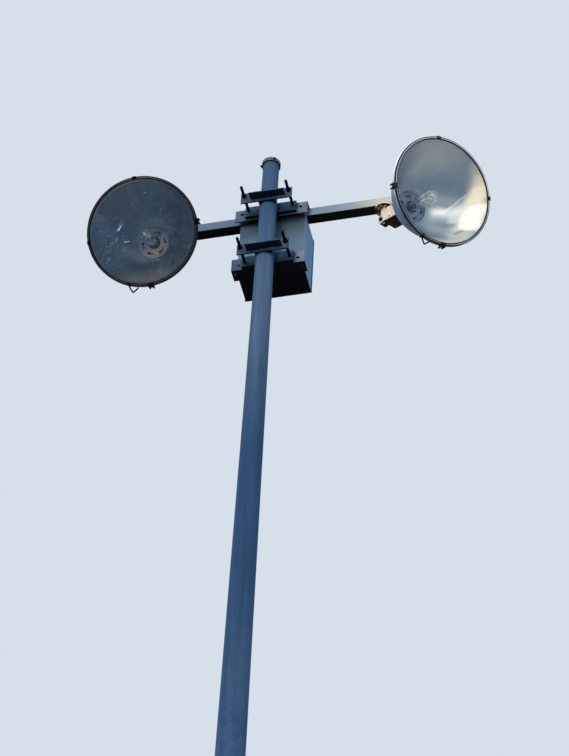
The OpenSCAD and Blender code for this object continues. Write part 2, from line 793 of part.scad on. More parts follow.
bail(right_x, right_pan, right_tilt, right_bail_turn);  // right_bail
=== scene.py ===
import bpy
import bmesh
import math
import random
from mathutils import Matrix, Vector


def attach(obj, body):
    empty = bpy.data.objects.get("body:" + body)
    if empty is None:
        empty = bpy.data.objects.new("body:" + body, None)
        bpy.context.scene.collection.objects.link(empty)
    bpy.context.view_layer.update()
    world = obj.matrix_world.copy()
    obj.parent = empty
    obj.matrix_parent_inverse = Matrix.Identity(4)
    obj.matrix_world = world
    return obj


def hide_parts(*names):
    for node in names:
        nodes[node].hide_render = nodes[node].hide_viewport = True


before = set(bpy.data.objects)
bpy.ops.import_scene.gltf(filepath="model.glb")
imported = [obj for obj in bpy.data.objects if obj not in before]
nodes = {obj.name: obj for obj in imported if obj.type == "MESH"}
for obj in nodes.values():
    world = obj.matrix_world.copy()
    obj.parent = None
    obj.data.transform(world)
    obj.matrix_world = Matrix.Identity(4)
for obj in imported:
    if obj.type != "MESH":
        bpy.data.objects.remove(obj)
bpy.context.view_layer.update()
scene = bpy.context.scene

# Sizes in metres, as in the part's source
POLE_H = 12.174
POLE_TOP_R = 0.0445
POLE_FOOT_R = 0.1155
BASE_T = 0.025
ARM_Y = 0.14125
TILT_Z = 11.7221
DISC_UNDER = 0.0957
# X, and the pan and tilt in degrees, of each lamp at rest
LAMPS = {"left": (-0.619, 3.0, 36.0), "right": (0.619, 48.0, 24.0)}
RING_R = 0.2995
RING_WALL = 0.0025
RING_IN = RING_R - RING_WALL
RING_W = 0.024
RING_LAP = 0.011
NECK_Z = 0.262
NECK_R = 0.088
BOWL_DEPTH = 0.292
BOWL_WALL = 0.002
BOWL_R = RING_IN - 0.007
BOWL_POWER = 0.9
MOUTH_Z = NECK_Z + BOWL_DEPTH
LENS_R = RING_IN - 0.0015
LENS_RISE, LENS_T = 0.022, 0.005
LENS_BALL_R = (LENS_R ** 2 + LENS_RISE ** 2) / (2 * LENS_RISE)
SEAT = 0.0002
BULB_R = 0.035
BULB_REACH = 0.240
BULB_TIP = 0.060
BULB_NECK_R = 0.0225
BULB_CAP_R = 0.0195
CAP_TOP = NECK_Z - 0.0638
HOLDER_BACK = NECK_Z - 0.130
HOLDER_FLOOR = 0.012


def polar(r, a):
    """X and Y of a point by its radius and angle."""
    return r * math.cos(a), r * math.sin(a)


def pole_r(z):
    """Outer radius of the shaft at a height."""
    return POLE_TOP_R + (POLE_FOOT_R - POLE_TOP_R) * (POLE_H - z) / (POLE_H - BASE_T)


def lens_face(r):
    """Height of the lens's inner face above its edge."""
    return math.sqrt(LENS_BALL_R ** 2 - r * r) - LENS_BALL_R + LENS_RISE


LIP_R = RING_R - RING_LAP
GASKET_R = LIP_R - 0.005
GASKET_T = 0.002
RING_FRONT = MOUTH_Z + SEAT + LENS_T + lens_face(GASKET_R) + SEAT + GASKET_T + SEAT + RING_WALL


def optic(side):
    """Place of a lamp: +Z forward along its axis, +Y up, +X to the right."""
    x, pan, tilt = LAMPS[side]
    place = Matrix.Translation((x, ARM_Y, TILT_Z)) @ Matrix.Rotation(math.radians(pan), 4, "Z")
    return place @ Matrix.Rotation(math.radians(90 + tilt), 4, "X")


def yoke(side):
    """Place of a lamp's swivel: +Z up, +X along the tilt bolt."""
    x, pan, _ = LAMPS[side]
    return Matrix.Translation((x, ARM_Y, TILT_Z)) @ Matrix.Rotation(math.radians(pan), 4, "Z")


# Camera, as fitted to the photograph
PICTURE_W = 569
SENSOR_W = 36
FOCAL_PX = 2439.19
NEAR, FAR = 0.05, 200
EYE = Vector((2.42457, -8.38886, 1.71283))
YAW, PITCH, ROLL = (math.radians(a) for a in (15.18887, 45.18036, 3.32904))


def make_camera():
    """Camera at the fitted eye, with its yaw, pitch and roll."""
    forward = Vector((-math.sin(YAW) * math.cos(PITCH), math.cos(YAW) * math.cos(PITCH), math.sin(PITCH)))
    level = Vector((math.cos(YAW), math.sin(YAW), 0))
    over = level.cross(forward)
    right = math.cos(ROLL) * level + math.sin(ROLL) * over
    up = -math.sin(ROLL) * level + math.cos(ROLL) * over
    data = bpy.data.cameras.new("camera")
    data.sensor_fit = "HORIZONTAL"
    data.sensor_width = SENSOR_W
    data.lens = FOCAL_PX / PICTURE_W * SENSOR_W
    data.clip_start = NEAR
    data.clip_end = FAR
    cam = bpy.data.objects.new("camera", data)
    scene.collection.objects.link(cam)
    cam.matrix_world = Matrix.Translation(EYE) @ Matrix((right, up, -forward)).transposed().to_4x4()
    scene.camera = cam


make_camera()


TINY = 1e-6


class Graph:
    """Short names for building a material's nodes."""

    def __init__(self, tree, place=None):
        self.tree = tree
        self.place = place

    def new(self, kind, **sockets):
        """Adds a node, with a value or a link for each socket that is named."""
        node = self.tree.nodes.new(kind)
        for name, value in sockets.items():
            self.put(node.inputs[name], value)
        return node

    def put(self, socket, value):
        if isinstance(value, bpy.types.NodeSocket):
            self.tree.links.new(value, socket)
        else:
            socket.default_value = value

    def math(self, op, a, b=0.0, clamp=False):
        node = self.new("ShaderNodeMath")
        node.operation = op
        node.use_clamp = clamp
        self.put(node.inputs[0], a)
        self.put(node.inputs[1], b)
        return node.outputs[0]

    def mix(self, factor, a, b):
        # a mix of colours takes sockets 0, 6 and 7, and gives output 2
        node = self.new("ShaderNodeMix")
        node.data_type = "RGBA"
        self.put(node.inputs[0], factor)
        self.put(node.inputs[6], a)
        self.put(node.inputs[7], b)
        return node.outputs[2]

    def ramp(self, factor, low, high, out_low=0.0, out_high=1.0):
        """Goes softly from one value to another as the factor goes from low to high."""
        node = self.new("ShaderNodeMapRange")
        node.interpolation_type = "SMOOTHSTEP"
        self.put(node.inputs[0], factor)
        for i, value in enumerate((low, high, out_low, out_high)):
            self.put(node.inputs[i + 1], value)
        return node.outputs[0]

    def where(self):
        """Object coordinates, or those of the place that was given, such as a lamp's own."""
        point = self.new("ShaderNodeTexCoord").outputs["Object"]
        if self.place is None:
            return point
        local = self.new("ShaderNodeMapping", Vector=point, Location=self.place.to_translation(),
                         Rotation=self.place.to_euler("XYZ"))
        local.vector_type = "TEXTURE"
        return local.outputs[0]

    def coords(self, scale=(1, 1, 1)):
        return self.new("ShaderNodeMapping", Vector=self.where(), Scale=scale).outputs[0]

    def axes(self):
        split = self.new("ShaderNodeSeparateXYZ", Vector=self.where())
        return split.outputs[0], split.outputs[1], split.outputs[2]

    def up_facing(self):
        """Height of the surface's own normal: 1 looks up, -1 looks down."""
        normal = self.new("ShaderNodeTexCoord").outputs["Normal"]
        return self.new("ShaderNodeSeparateXYZ", Vector=normal).outputs[2]

    def noise(self, scale, detail, rough=0.55, stretch=(1, 1, 1)):
        return self.new("ShaderNodeTexNoise", Vector=self.coords(stretch), Scale=scale, Detail=detail,
                        Roughness=rough).outputs[0]

    def patches(self, scale, detail, low, high, strength, rough=0.55, stretch=(1, 1, 1)):
        """Patches of wear: none where the noise is below low, and at their full strength where it is above high."""
        return self.math("MULTIPLY", self.ramp(self.noise(scale, detail, rough, stretch), low, high), strength)

    def uneven(self, scale, detail, low=0.0, high=1.0):
        """Noise spread softly from one value to another."""
        return self.ramp(self.noise(scale, detail), 0.3, 0.7, low, high)

    def cells(self, scale):
        """A value of its own for each of the cells of a mottled finish."""
        node = self.new("ShaderNodeTexVoronoi", Vector=self.coords(), Scale=scale)
        return self.new("ShaderNodeSeparateColor", Color=node.outputs["Color"]).outputs[0]

    def bump(self, height, strength, distance):
        return self.new("ShaderNodeBump", Height=height, Strength=strength, Distance=distance).outputs[0]

    def stroke(self, x, y, start, end, radius, soft=1.0):
        """1 along a line between two points in the plane of x and y, fading to 0 at the radius."""
        ax, ay = start
        bx, by = end[0] - ax, end[1] - ay
        square = bx * bx + by * by + TINY
        px, py = self.math("SUBTRACT", x, ax), self.math("SUBTRACT", y, ay)
        along = self.math("ADD", self.math("MULTIPLY", px, bx / square), self.math("MULTIPLY", py, by / square), True)
        dx = self.math("SUBTRACT", px, self.math("MULTIPLY", along, bx))
        dy = self.math("SUBTRACT", py, self.math("MULTIPLY", along, by))
        far = self.math("SQRT", self.math("ADD", self.math("MULTIPLY", dx, dx), self.math("MULTIPLY", dy, dy)))
        return self.ramp(far, radius * (1 - soft), radius, 1.0, 0.0)

    def sight(self):
        """1 for a ray that is seen straight, mirrored or bent, and 1 for a mirrored or bent one alone."""
        path = self.new("ShaderNodeLightPath")
        bent = self.math("MAXIMUM", path.outputs["Is Glossy Ray"], path.outputs["Is Transmission Ray"])
        return self.math("MAXIMUM", path.outputs["Is Camera Ray"], bent), bent


def srgb(r, g, b):
    """Linear colour with its alpha, from the usual 0 to 255 values."""
    def lin(v):
        v /= 255
        return v / 12.92 if v <= 0.04045 else ((v + 0.055) / 1.055) ** 2.4
    return (lin(r), lin(g), lin(b), 1)


def new_material(name, place=None):
    """A material, a graph for its nodes, and its shader."""
    mat = bpy.data.materials.new(name)
    mat.use_nodes = True
    tree = mat.node_tree
    shader = next(n for n in tree.nodes if n.type == "BSDF_PRINCIPLED")
    return mat, Graph(tree, place), shader


# the second colour is the near black painted as shade on faces that look down and in bolt holes
RUST, PAINTED_SHADE_COLOUR = (96, 62, 44), (3, 5, 8)
# scales of the textures behind each kind of wear
BROAD, GRIME, RUST_SPECKS, ROUGHNESS, GRAIN, THREADS = 3.1, 11, 34, 38, 300, 160
GLOSS = 0.02
# axes of the bands, where OUT is the distance from X = 0
X, Z, OUT = 0, 2, 3


def metal(name, base, dark, light, rough=0.5, metallic=0.0, spangle=55.0, spangle_mix=0.35, dirt=0.4, rust=0.0,
          streaks=(1, 1, 0.12), rust_colour=RUST, grain=0.25, under=0.3, bands=(), holes=(), threads=""):
    """Weathered metal or paint: mottled cells, broad patches, streaks of dirt along an axis, rust where asked for, and
    painted shade on the faces that look down, which keep the share under of their tone. Each band is (axis, from, to,
    colour, strength): the tint that the metal takes on as it goes from one place along the axis to the other, and some
    bands are painted light or shade. Holes are the (distance from X = 0, height, radius) of bolt holes painted dark as
    shade, and threads is the axis that turns of thread run along."""
    mat, g, shader = new_material(name)
    cells = g.cells(spangle)
    tone = g.mix(g.math("MULTIPLY", g.ramp(cells, 0.0, 1.0), spangle_mix), srgb(*base), srgb(*light))
    tone = g.mix(g.patches(BROAD, 5, 0.35, 0.7, 0.5), tone, srgb(*light))
    axes = g.axes() if bands or holes else ()
    for axis, low, high, colour, strength in bands:
        along = g.math("ABSOLUTE", axes[X]) if axis == OUT else axes[axis]
        tone = g.mix(g.math("MULTIPLY", g.ramp(along, low, high), strength), tone, srgb(*colour))
    tone = g.mix(g.patches(GRIME, 6, 0.42, 0.72, dirt, 0.6, streaks), tone, srgb(*dark))
    if rust:
        tone = g.mix(g.patches(RUST_SPECKS, 7, 0.57, 0.66, rust, 0.7), tone, srgb(*rust_colour))
    # painted shade: faces that look down go near black, keeping the share under of their tone, and so do the bolt
    # holes
    painted_shade = g.ramp(g.up_facing(), -0.75, -0.25, 1.0 - under, 0.0)
    for out, height, radius in holes:
        hole = g.stroke(g.math("ABSOLUTE", axes[X]), axes[Z], (out, height), (out, height), radius, 0.1)
        painted_shade = g.math("MAXIMUM", painted_shade, hole)
    tone = g.mix(painted_shade, tone, srgb(*PAINTED_SHADE_COLOUR))
    g.put(shader.inputs["Base Color"], tone)
    g.put(shader.inputs["Metallic"], metallic)
    g.put(shader.inputs["Specular IOR Level"], GLOSS)
    g.put(shader.inputs["Roughness"], g.uneven(ROUGHNESS, 4, rough - 0.08, rough + 0.1))
    fine = g.math("ADD", g.math("MULTIPLY", g.noise(GRAIN, 3), 0.6), g.math("MULTIPLY", cells, 0.2))
    if threads:
        turns = g.new("ShaderNodeTexWave", Vector=g.coords(), Scale=THREADS)
        turns.bands_direction = threads
        fine = g.math("ADD", fine, g.math("MULTIPLY", turns.outputs[1], 2.0))
    g.put(shader.inputs["Normal"], g.bump(fine, grain, 0.0006))
    return mat


# where under is small, the faces that look down are painted near black as shade
# the shaft is duller half way up the part that shows, paler under the arm and greyer again at its top
pole_zinc = metal("pole_zinc", (70, 102, 142), (50, 77, 110), (91, 123, 158), rough=0.6, spangle=48,
                  spangle_mix=0.5, dirt=0.7, streaks=(1, 1, 0.05),
                  bands=[(Z, 8.6, 9.4, (64, 97, 137), 0.8), (Z, 9.9, 10.9, (110, 135, 162), 0.9),
                         (Z, 11.2, 11.8, (76, 106, 140), 0.9)])
cap_zinc = metal("cap_zinc", (120, 124, 138), (76, 76, 84), (146, 144, 152), under=0.03)
# the angles' tabs beyond the clamps are painted lighter, as lit, with their middles left in painted shade, and the
# right tabs lighter still; the lower angle is a little paler; the bolt holes are painted dark as shade
bracket_zinc = metal("bracket_zinc", (84, 104, 128), (44, 56, 70), (104, 122, 142), dirt=0.65, rust=0.2,
                     bands=[(OUT, 0.150, 0.165, (128, 142, 166), 0.85), (X, 0.150, 0.165, (160, 170, 190), 0.85),
                            (Z, 11.66, 11.60, (92, 110, 132), 0.5)],
                     holes=[(0.1645, 11.858, 0.0102), (0.1645, 11.4397, 0.0102)], under=0.05)
plate_zinc = metal("plate_zinc", (80, 102, 134), (38, 48, 60), (98, 120, 144), dirt=0.6, rust=0.15)
jaw_zinc = metal("jaw_zinc", (62, 82, 106), (32, 42, 54), (80, 102, 124), dirt=0.6, rust=0.15, under=0.05)
# the arm is painted warm and light towards the right lamp as sunlight falling there, and dark between the angles' tabs
# as their shade
arm_zinc = metal("arm_zinc", (124, 143, 164), (98, 112, 130), (142, 156, 170), dirt=0.35, streaks=(0.1, 1, 1),
                 bands=[(X, 0.36, 0.62, (190, 183, 168), 0.85), (OUT, 0.190, 0.165, (34, 36, 40), 0.8)], under=0.02)
PAINT = {"rough": 0.6, "spangle": 18, "spangle_mix": 0.1, "grain": 0.12, "under": 0.02}
# the box is darker towards its right; painted shade darkens the top of its front under the clamps, darkest just below
# the upper angle, and its right side is painted pale blue as sky light
box_paint = metal("box_paint", (131, 157, 176), (90, 106, 120), (139, 162, 180), rust=0.1, streaks=(1, 1, 0.15),
                  bands=[(X, -0.02, 0.14, (102, 122, 142), 0.8), (Z, 11.58, 11.74, (84, 98, 112), 0.85),
                         (Z, 11.755, 11.80, (22, 27, 34), 0.7), (X, 0.1866, 0.1876, (142, 184, 230), 0.85)], **PAINT)
cover_paint = metal("cover_paint", (78, 96, 120), (50, 60, 74), (92, 112, 136), dirt=0.5, rust=0.15, **PAINT)
BOLTS = {"base": (16, 22, 40), "dark": (8, 10, 18), "light": (30, 38, 58), "rough": 0.6, "rust": 0.25,
         "rust_colour": (58, 36, 28)}
bolt_steel = metal("bolt_steel", **BOLTS)
neck_bolt_steel = metal("neck_bolt_steel", (60, 82, 120), (36, 50, 80), (84, 106, 144), rough=0.6)
rod_steel = metal("rod_steel", grain=0.8, threads="Y", **BOLTS)
black_plastic = metal("black_plastic", (34, 35, 38), (22, 22, 24), (46, 47, 50), rough=0.55, spangle_mix=0.1)
CAST = {"rough": 0.6, "spangle": 130, "spangle_mix": 0.3}
cast_cream = metal("cast_aluminium", (212, 199, 182), (140, 120, 102), (238, 226, 210), dirt=0.6, rust=0.35,
                   rust_colour=(140, 98, 76), under=0.02, **CAST)
# painted shadow darkens the tops of the ears just under the swivel disc, and the disc above is painted lighter, as lit
disc_cast = metal("disc_aluminium", (206, 190, 176), (128, 106, 98), (232, 218, 204), dirt=0.45, rust=0.5,
                  rust_colour=(96, 60, 54), under=0.06, **CAST,
                  bands=[(Z, 11.788, 11.800, (150, 112, 98), 0.85), (Z, 11.8125, 11.8135, (222, 206, 190), 0.95)])
clip_rust = metal("clip_rust", (30, 27, 34), (12, 12, 20), (78, 60, 48), rough=0.7, rust=0.7,
                  rust_colour=(120, 84, 48), spangle=90)
wire_steel = metal("wire_steel", (20, 34, 66), (12, 18, 34), (40, 54, 86))
frame_wire = metal("frame_wire", (232, 234, 236), (190, 194, 200), (250, 250, 250), rough=0.25, metallic=0.7,
                   dirt=0.1, under=1.0)
rubber = metal("rubber", (12, 14, 20), (8, 9, 12), (22, 26, 34), rough=0.7, spangle_mix=0.1)
# the porcelain is painted blue, a painted reflection of sky light in the socket
porcelain = metal("porcelain", (98, 142, 202), (80, 118, 172), (116, 160, 220), spangle_mix=0.1)
weld_steel = metal("weld_steel", (74, 96, 120), (50, 64, 82), (98, 118, 138), rough=0.6, spangle=200, rust=0.2)
# the ring's inside and back are near black, and the grooves on either side of its bead are painted near black as shade
ring_dark = metal("ring_dark", (12, 16, 28), (6, 8, 14), (26, 30, 42), rough=0.6, rust=0.3,
                  rust_colour=(44, 32, 30), under=1.0)
bowl_back = metal("bowl_back", (104, 124, 152), (60, 76, 104), (150, 170, 196), metallic=0.2, dirt=0.5,
                  streaks=(1, 1, 1), under=0.5)


# how far along the ring a tint reaches, in metres
TINT_REACH = 0.20


def ring_metal(name, place, base, tints, rust=0.1, pale=0.1):
    """Formed ring whose tint changes round the lamp: (angle in degrees, colour) pairs on top of a base, which paint
    light on the side where it falls and shade on the other.
    """
    mat, g, shader = new_material(name, place)
    x, y, _ = g.axes()
    tone = srgb(*base)
    for turn, colour in tints:
        at = polar(RING_R, math.radians(turn))
        tone = g.mix(g.stroke(x, y, at, at, TINT_REACH), tone, srgb(*colour))
    tone = g.mix(g.patches(24, 6, 0.45, 0.62, rust, 0.65), tone, srgb(62, 52, 50))
    tone = g.mix(g.patches(90, 4, 0.5, 0.7, pale), tone, srgb(176, 172, 172))
    g.put(shader.inputs["Base Color"], tone)
    g.put(shader.inputs["Specular IOR Level"], 0.15)
    g.put(shader.inputs["Roughness"], g.uneven(50, 3, 0.45, 0.65))
    g.put(shader.inputs["Normal"], g.bump(g.noise(260, 3), 0.2, 0.0005))
    return mat


NAVY = (14, 22, 42)
# the tints round each ring are painted highlights and painted shade, and the right ring's lip and band are paler than
# the left's as painted light
ring_lips = {
    "left": ring_metal("ring_lip_left", optic("left"), (116, 114, 114), [
        (0, (96, 94, 98)), (90, (206, 184, 168)), (150, (130, 122, 114)), (200, (62, 72, 74)),
        (270, (120, 120, 118))], 0.2, 0.25),
    "right": ring_metal("ring_lip_right", optic("right"), (176, 178, 190), [
        (30, (214, 208, 204)), (90, (190, 192, 206)), (180, (180, 186, 204)), (235, (116, 122, 142)),
        (280, (128, 124, 128)), (335, (134, 150, 170))], 0.12, 0.2)}
ring_beads = {
    "left": ring_metal("ring_bead_left", optic("left"), NAVY, [(180, (18, 24, 34)), (270, (20, 22, 34))], 0.1, 0.0),
    "right": ring_metal("ring_bead_right", optic("right"), NAVY, [
        (30, (220, 230, 242)), (70, (120, 132, 160)), (110, NAVY), (230, NAVY), (280, (50, 56, 72)),
        (335, (126, 146, 168))], 0.05, 0.0)}
ring_bands = {
    "left": ring_metal("ring_band_left", optic("left"), NAVY, [(90, (24, 32, 52))], 0.1, 0.0),
    "right": ring_metal("ring_band_right", optic("right"), (150, 168, 196), [
        (165, (232, 240, 250)), (240, (80, 98, 128)), (290, (84, 100, 126))], 0.05, 0.1)}


# sizes of a bowl's fields in millimetres, and the scale of the rings that spinning leaves
WAVE, STRAIGHT_BELOW, EDGE_FADE = 34.0, 12, 4
SPIN_RINGS = 70


def reflector_metal(name, place, base, dark, light, rough, metallic, glows=(), edge=None):
    """Spun bowl: fine rings round its axis, haze, grime, and fields of another tint given as (start, end, radius,
    softness, colour, strength, matt) in millimetres across the lamp, which paint reflections, highlights and shade;
    matt fields scatter the light, and wide ones have a wavy outline. An edge is a (radius, colour, strength) from
    which the bowl is another tint to its rim, a painted highlight along it."""
    mat, g, shader = new_material(name, place)
    x, y, _ = g.axes()
    x, y = g.math("MULTIPLY", x, 1000.0), g.math("MULTIPLY", y, 1000.0)
    wave = g.math("MULTIPLY", g.math("SUBTRACT", g.noise(7, 4), 0.5), WAVE)
    wide = g.math("ADD", x, wave), g.math("ADD", y, wave)
    tone = g.mix(g.uneven(5, 4), srgb(*base), srgb(*light))
    tone = g.mix(g.patches(13, 6, 0.5, 0.75, 0.35, 0.6), tone, srgb(*dark))
    shine = metallic
    for start, end, radius, soft, colour, strength, matt in glows:
        across = wide if radius > STRAIGHT_BELOW else (x, y)
        field = g.math("MULTIPLY", g.stroke(*across, start, end, radius, soft), strength)
        tone = g.mix(field, tone, srgb(*colour))
        if matt:
            shine = g.math("MULTIPLY", shine, g.math("SUBTRACT", 1.0, g.math("MULTIPLY", field, matt)))
    if edge:
        edge_r, edge_colour, edge_strength = edge
        far = g.math("SQRT", g.math("ADD", g.math("MULTIPLY", x, x), g.math("MULTIPLY", y, y)))
        border = g.math("MULTIPLY", g.ramp(far, edge_r - EDGE_FADE, edge_r), edge_strength)
        tone = g.mix(border, tone, srgb(*edge_colour))
    g.put(shader.inputs["Base Color"], tone)
    g.put(shader.inputs["Metallic"], shine)
    g.put(shader.inputs["Specular IOR Level"], 0.3)
    g.put(shader.inputs["Roughness"], g.uneven(20, 4, rough - 0.05, rough + 0.08))
    rings = g.new("ShaderNodeTexWave", Vector=g.coords((0, 0, 1)), Scale=SPIN_RINGS, Distortion=0.6)
    rings.bands_direction = "Z"
    g.put(shader.inputs["Normal"], g.bump(rings.outputs[1], 0.12, 0.0004))
    return mat


def clear_glass(name, colour, clear, rim, dirt_scale, dirt_mix, rough=0.06, shine=0.0, reach=(0.3, 1.0)):
    """Clear pane: its alpha rises towards grazing views and in patches of dust."""
    mat, g, shader = new_material(name)
    dust = g.patches(dirt_scale, 7, 0.5, 0.8, dirt_mix, 0.7)
    weight = g.new("ShaderNodeLayerWeight", Blend=0.5)
    edge = g.math("MULTIPLY", g.ramp(weight.outputs[1], *reach), rim)
    alpha = g.math("ADD", g.math("ADD", clear, dust), edge, clamp=True)
    g.put(shader.inputs["Alpha"], alpha)
    g.put(shader.inputs["Base Color"], g.mix(g.uneven(40, 3), srgb(*colour), srgb(150, 160, 170)))
    g.put(shader.inputs["Roughness"], rough)
    g.put(shader.inputs["Metallic"], shine)
    g.put(shader.inputs["IOR"], 1.5)
    g.put(shader.inputs["Normal"], g.bump(g.noise(6, 2), 0.05, 0.002))
    return mat


# the left bowl's fields are painted reflections, its tones, darker than the right bowl's, are partly haze and partly
# painted shade, and its edge is a painted highlight along the rim
bowl_left = reflector_metal(
    "spun_aluminium_haze_and_painted_light", optic("left"), (106, 134, 154), (84, 108, 126), (120, 146, 164), 0.42, 0.85,
    [((-90, -225), (60, -215), 100, 1.0, (210, 210, 204), 0.8, 0),
     ((140, 150), (190, 90), 110, 1.0, (80, 116, 148), 0.6, 0),
     ((-235, 40), (-190, -120), 130, 1.0, (156, 194, 222), 0.85, 0),
     ((-150, -50), (-60, -84), 60, 1.0, (216, 226, 230), 0.8, 0),
     ((60, -120), (110, -90), 50, 1.0, (150, 170, 184), 0.6, 0),
     ((200, 40), (200, -60), 60, 1.0, (120, 156, 190), 0.6, 0),
     ((-86, -60), (-30, -97), 9, 1.0, (176, 186, 200), 0.5, 0.1),
     ((-30, -97), (22, -95), 11, 1.0, (214, 196, 212), 0.8, 0.2),
     ((-44, 246), (-4, 256), 22, 1.0, (140, 112, 108), 0.25, 0),
     ((150, -110), (175, -130), 12, 1.0, (160, 116, 92), 0.3, 0)], (282, (200, 210, 206), 0.9))
# painted reflections over the bowl, painted streaks of a highlight, a painted sunlit patch on its side and a thin
# painted shadow line below it
bowl_right = reflector_metal(
    "spun_aluminium", optic("right"), (160, 174, 186), (142, 156, 168), (176, 186, 194), 0.5, 0.94,
    [((-150, 215), (60, 265), 90, 1.0, (186, 190, 192), 0.8, 0),
     ((-130, 70), (10, 106), 90, 1.0, (112, 130, 146), 0.7, 0),
     ((60, 170), (120, 160), 60, 1.0, (134, 152, 170), 0.6, 0),
     ((-50, 182), (0, 200), 24, 1.0, (172, 164, 158), 0.4, 0),
     ((-230, 60), (-160, 130), 80, 1.0, (144, 162, 182), 0.6, 0),
     ((100, -60), (190, -100), 80, 1.0, (216, 232, 244), 0.9, 0.25),
     ((-20, -170), (120, -205), 80, 1.0, (200, 214, 224), 0.8, 0.25),
     ((90, 0), (30, -80), 60, 1.0, (206, 224, 236), 0.6, 0.1),
     ((120, 90), (200, 84), 44, 1.0, (216, 226, 228), 0.5, 0.3),
     ((130, -6), (220, -10), 50, 1.0, (216, 232, 240), 0.8, 0.35),
     ((140, -215), (225, -170), 55, 1.0, (222, 221, 216), 0.9, 0.8),
     ((190, -135), (238, -128), 44, 1.0, (210, 212, 206), 0.85, 0.75),
     ((160, 262), (222, 170), 48, 0.9, (202, 203, 198), 0.9, 0.7),
     ((210, 196), (236, 120), 46, 0.85, (234, 227, 209), 0.9, 0.85),
     ((236, 138), (244, 60), 50, 0.75, (250, 242, 224), 0.95, 0.95),
     ((128, 30), (206, 36), 48, 0.9, (238, 248, 248), 0.9, 0.9),
     ((134, 28), (164, 34), 13, 0.9, (252, 254, 254), 0.8, 0.9),
     ((178, 64), (190, 92), 7, 0.8, (250, 252, 252), 0.5, 0.9),
     ((190, 100), (200, 120), 6, 0.7, (240, 244, 246), 0.5, 0.7),
     ((160, 40), (178, 62), 9, 0.8, (248, 250, 252), 0.6, 0.8),
     ((206, 60), (208, -18), 34, 0.9, (230, 238, 238), 0.7, 0.8),
     ((222, -74), (254, -82), 46, 1.0, (240, 232, 218), 0.9, 0.9),
     ((266, 60), (264, -60), 36, 0.7, (253, 247, 232), 0.95, 0.95),
     ((250, 46), (246, -60), 37, 0.45, (255, 255, 252), 1.0, 1.0),
     ((206, -114), (228, -90), 9, 0.8, (150, 154, 156), 0.7, 0)])
# the neck plate is lighter on its lower side and darker beside the lampholder, where the darkening is painted shade
neck_left = reflector_metal(
    "neck_painted_shade", optic("left"), (118, 138, 150), (88, 104, 114), (142, 158, 166), 0.45, 0.8,
    [((-30, -54), (40, -40), 50, 1.0, (226, 204, 178), 0.9, 0.35),
     ((50, -26), (66, 6), 34, 1.0, (190, 172, 150), 0.8, 0.1),
     ((-56, -20), (-60, 10), 30, 1.0, (130, 146, 156), 0.7, 0),
     ((-40, 14), (26, 44), 34, 1.0, (66, 82, 94), 0.8, 0)])
neck_right = metal("neck_aluminium", (106, 128, 154), (80, 98, 124), (140, 160, 182), rough=0.45,
                   metallic=0.8, spangle=70, spangle_mix=0.5, under=1.0)
bead_left = reflector_metal(
    "neck_bead", optic("left"), (120, 134, 146), (96, 108, 118), (140, 150, 158), 0.4, 0.7,
    [((-70, -50), (20, -84), 50, 1.0, (214, 206, 216), 0.9, 0.3)])
lens_left = clear_glass("lens_glass_dusty", (96, 110, 120), 0.12, 0.4, 9, 0.25)
lens_right = clear_glass("lens_glass", (190, 200, 208), 0.03, 0.2, 7, 0.06)
bulb_glass = clear_glass("bulb_glass", (248, 250, 252), 0.12, 1.0, 30, 0.1, shine=0.45, reach=(0.4, 0.85))
quartz = clear_glass("quartz", (244, 246, 248), 0.7, 0.3, 60, 0.1, rough=0.1, shine=0.3)
# the bright marks are painted near white as the glints they throw
mark_white = metal("marks_and_painted_glints", (240, 242, 244), (190, 196, 200), (250, 250, 250), rough=0.4,
                   metallic=0.5, spangle=300, dirt=0.2, under=1.0)
mark_faint = metal("faint_marks", (180, 194, 206), (134, 150, 164), (214, 222, 228), rough=0.5,
                   spangle=300, dirt=0.3, under=1.0)


def put_on(material, *names):
    """Gives nodes of the part a single material."""
    for name in names:
        ob = nodes[name]
        ob.data.materials.clear()
        ob.data.materials.append(material)


put_on(pole_zinc, "base_plate", "pole_shaft", "hand_hole_frame", "hand_hole_cover")
put_on(cap_zinc, "pole_cap")
put_on(bracket_zinc, "upper_rear_angle", "lower_rear_angle")
put_on(jaw_zinc, "upper_rear_jaw", "lower_rear_jaw")
put_on(plate_zinc, "upper_front_clamp", "lower_front_clamp")
put_on(arm_zinc, "cross_arm")
put_on(box_paint, "gear_box")
put_on(cover_paint, "gear_box_cover")
put_on(bolt_steel, "cap_screws", "upper_clamp_nuts", "lower_clamp_nuts")
put_on(rod_steel, "upper_clamp_rods", "lower_clamp_rods")
put_on(black_plastic, "arm_end_caps")
for side in LAMPS:
    put_on(cast_cream, side + "_housing")
    put_on(disc_cast, side + "_swivel")
    put_on(bolt_steel, side + "_tilt_bolt")
    put_on(clip_rust, side + "_clips")
    put_on(rubber, side + "_gasket")
    put_on(porcelain, side + "_lampholder")
put_on(neck_left, "left_neck_plate")
put_on(neck_right, "right_neck_plate")

# which faces of the housing are tinted: how far back, how far from the axis in the bore, and how squarely forward
TINT_BACK, BORE_WITHIN, LOOKS_FORWARD = NECK_Z - 0.17, 0.05, 0.9


def tint_socket(side):
    """The housing's front and its bore show inside the bowl, round the lampholder, and share its tint, which is
    painted sky light.
    """
    housing = nodes[side + "_housing"]
    housing.data.materials.append(porcelain)
    to_optic = optic(side).inverted() @ housing.matrix_world
    for face in housing.data.polygons:
        at, normal = to_optic @ face.center, to_optic.to_3x3() @ face.normal
        inward = at.x * normal.x + at.y * normal.y < 0 and math.hypot(at.x, at.y) < BORE_WITHIN
        if at.z > TINT_BACK and (normal.z > LOOKS_FORWARD or inward):
            face.material_index = 1


for side in LAMPS:
    tint_socket(side)


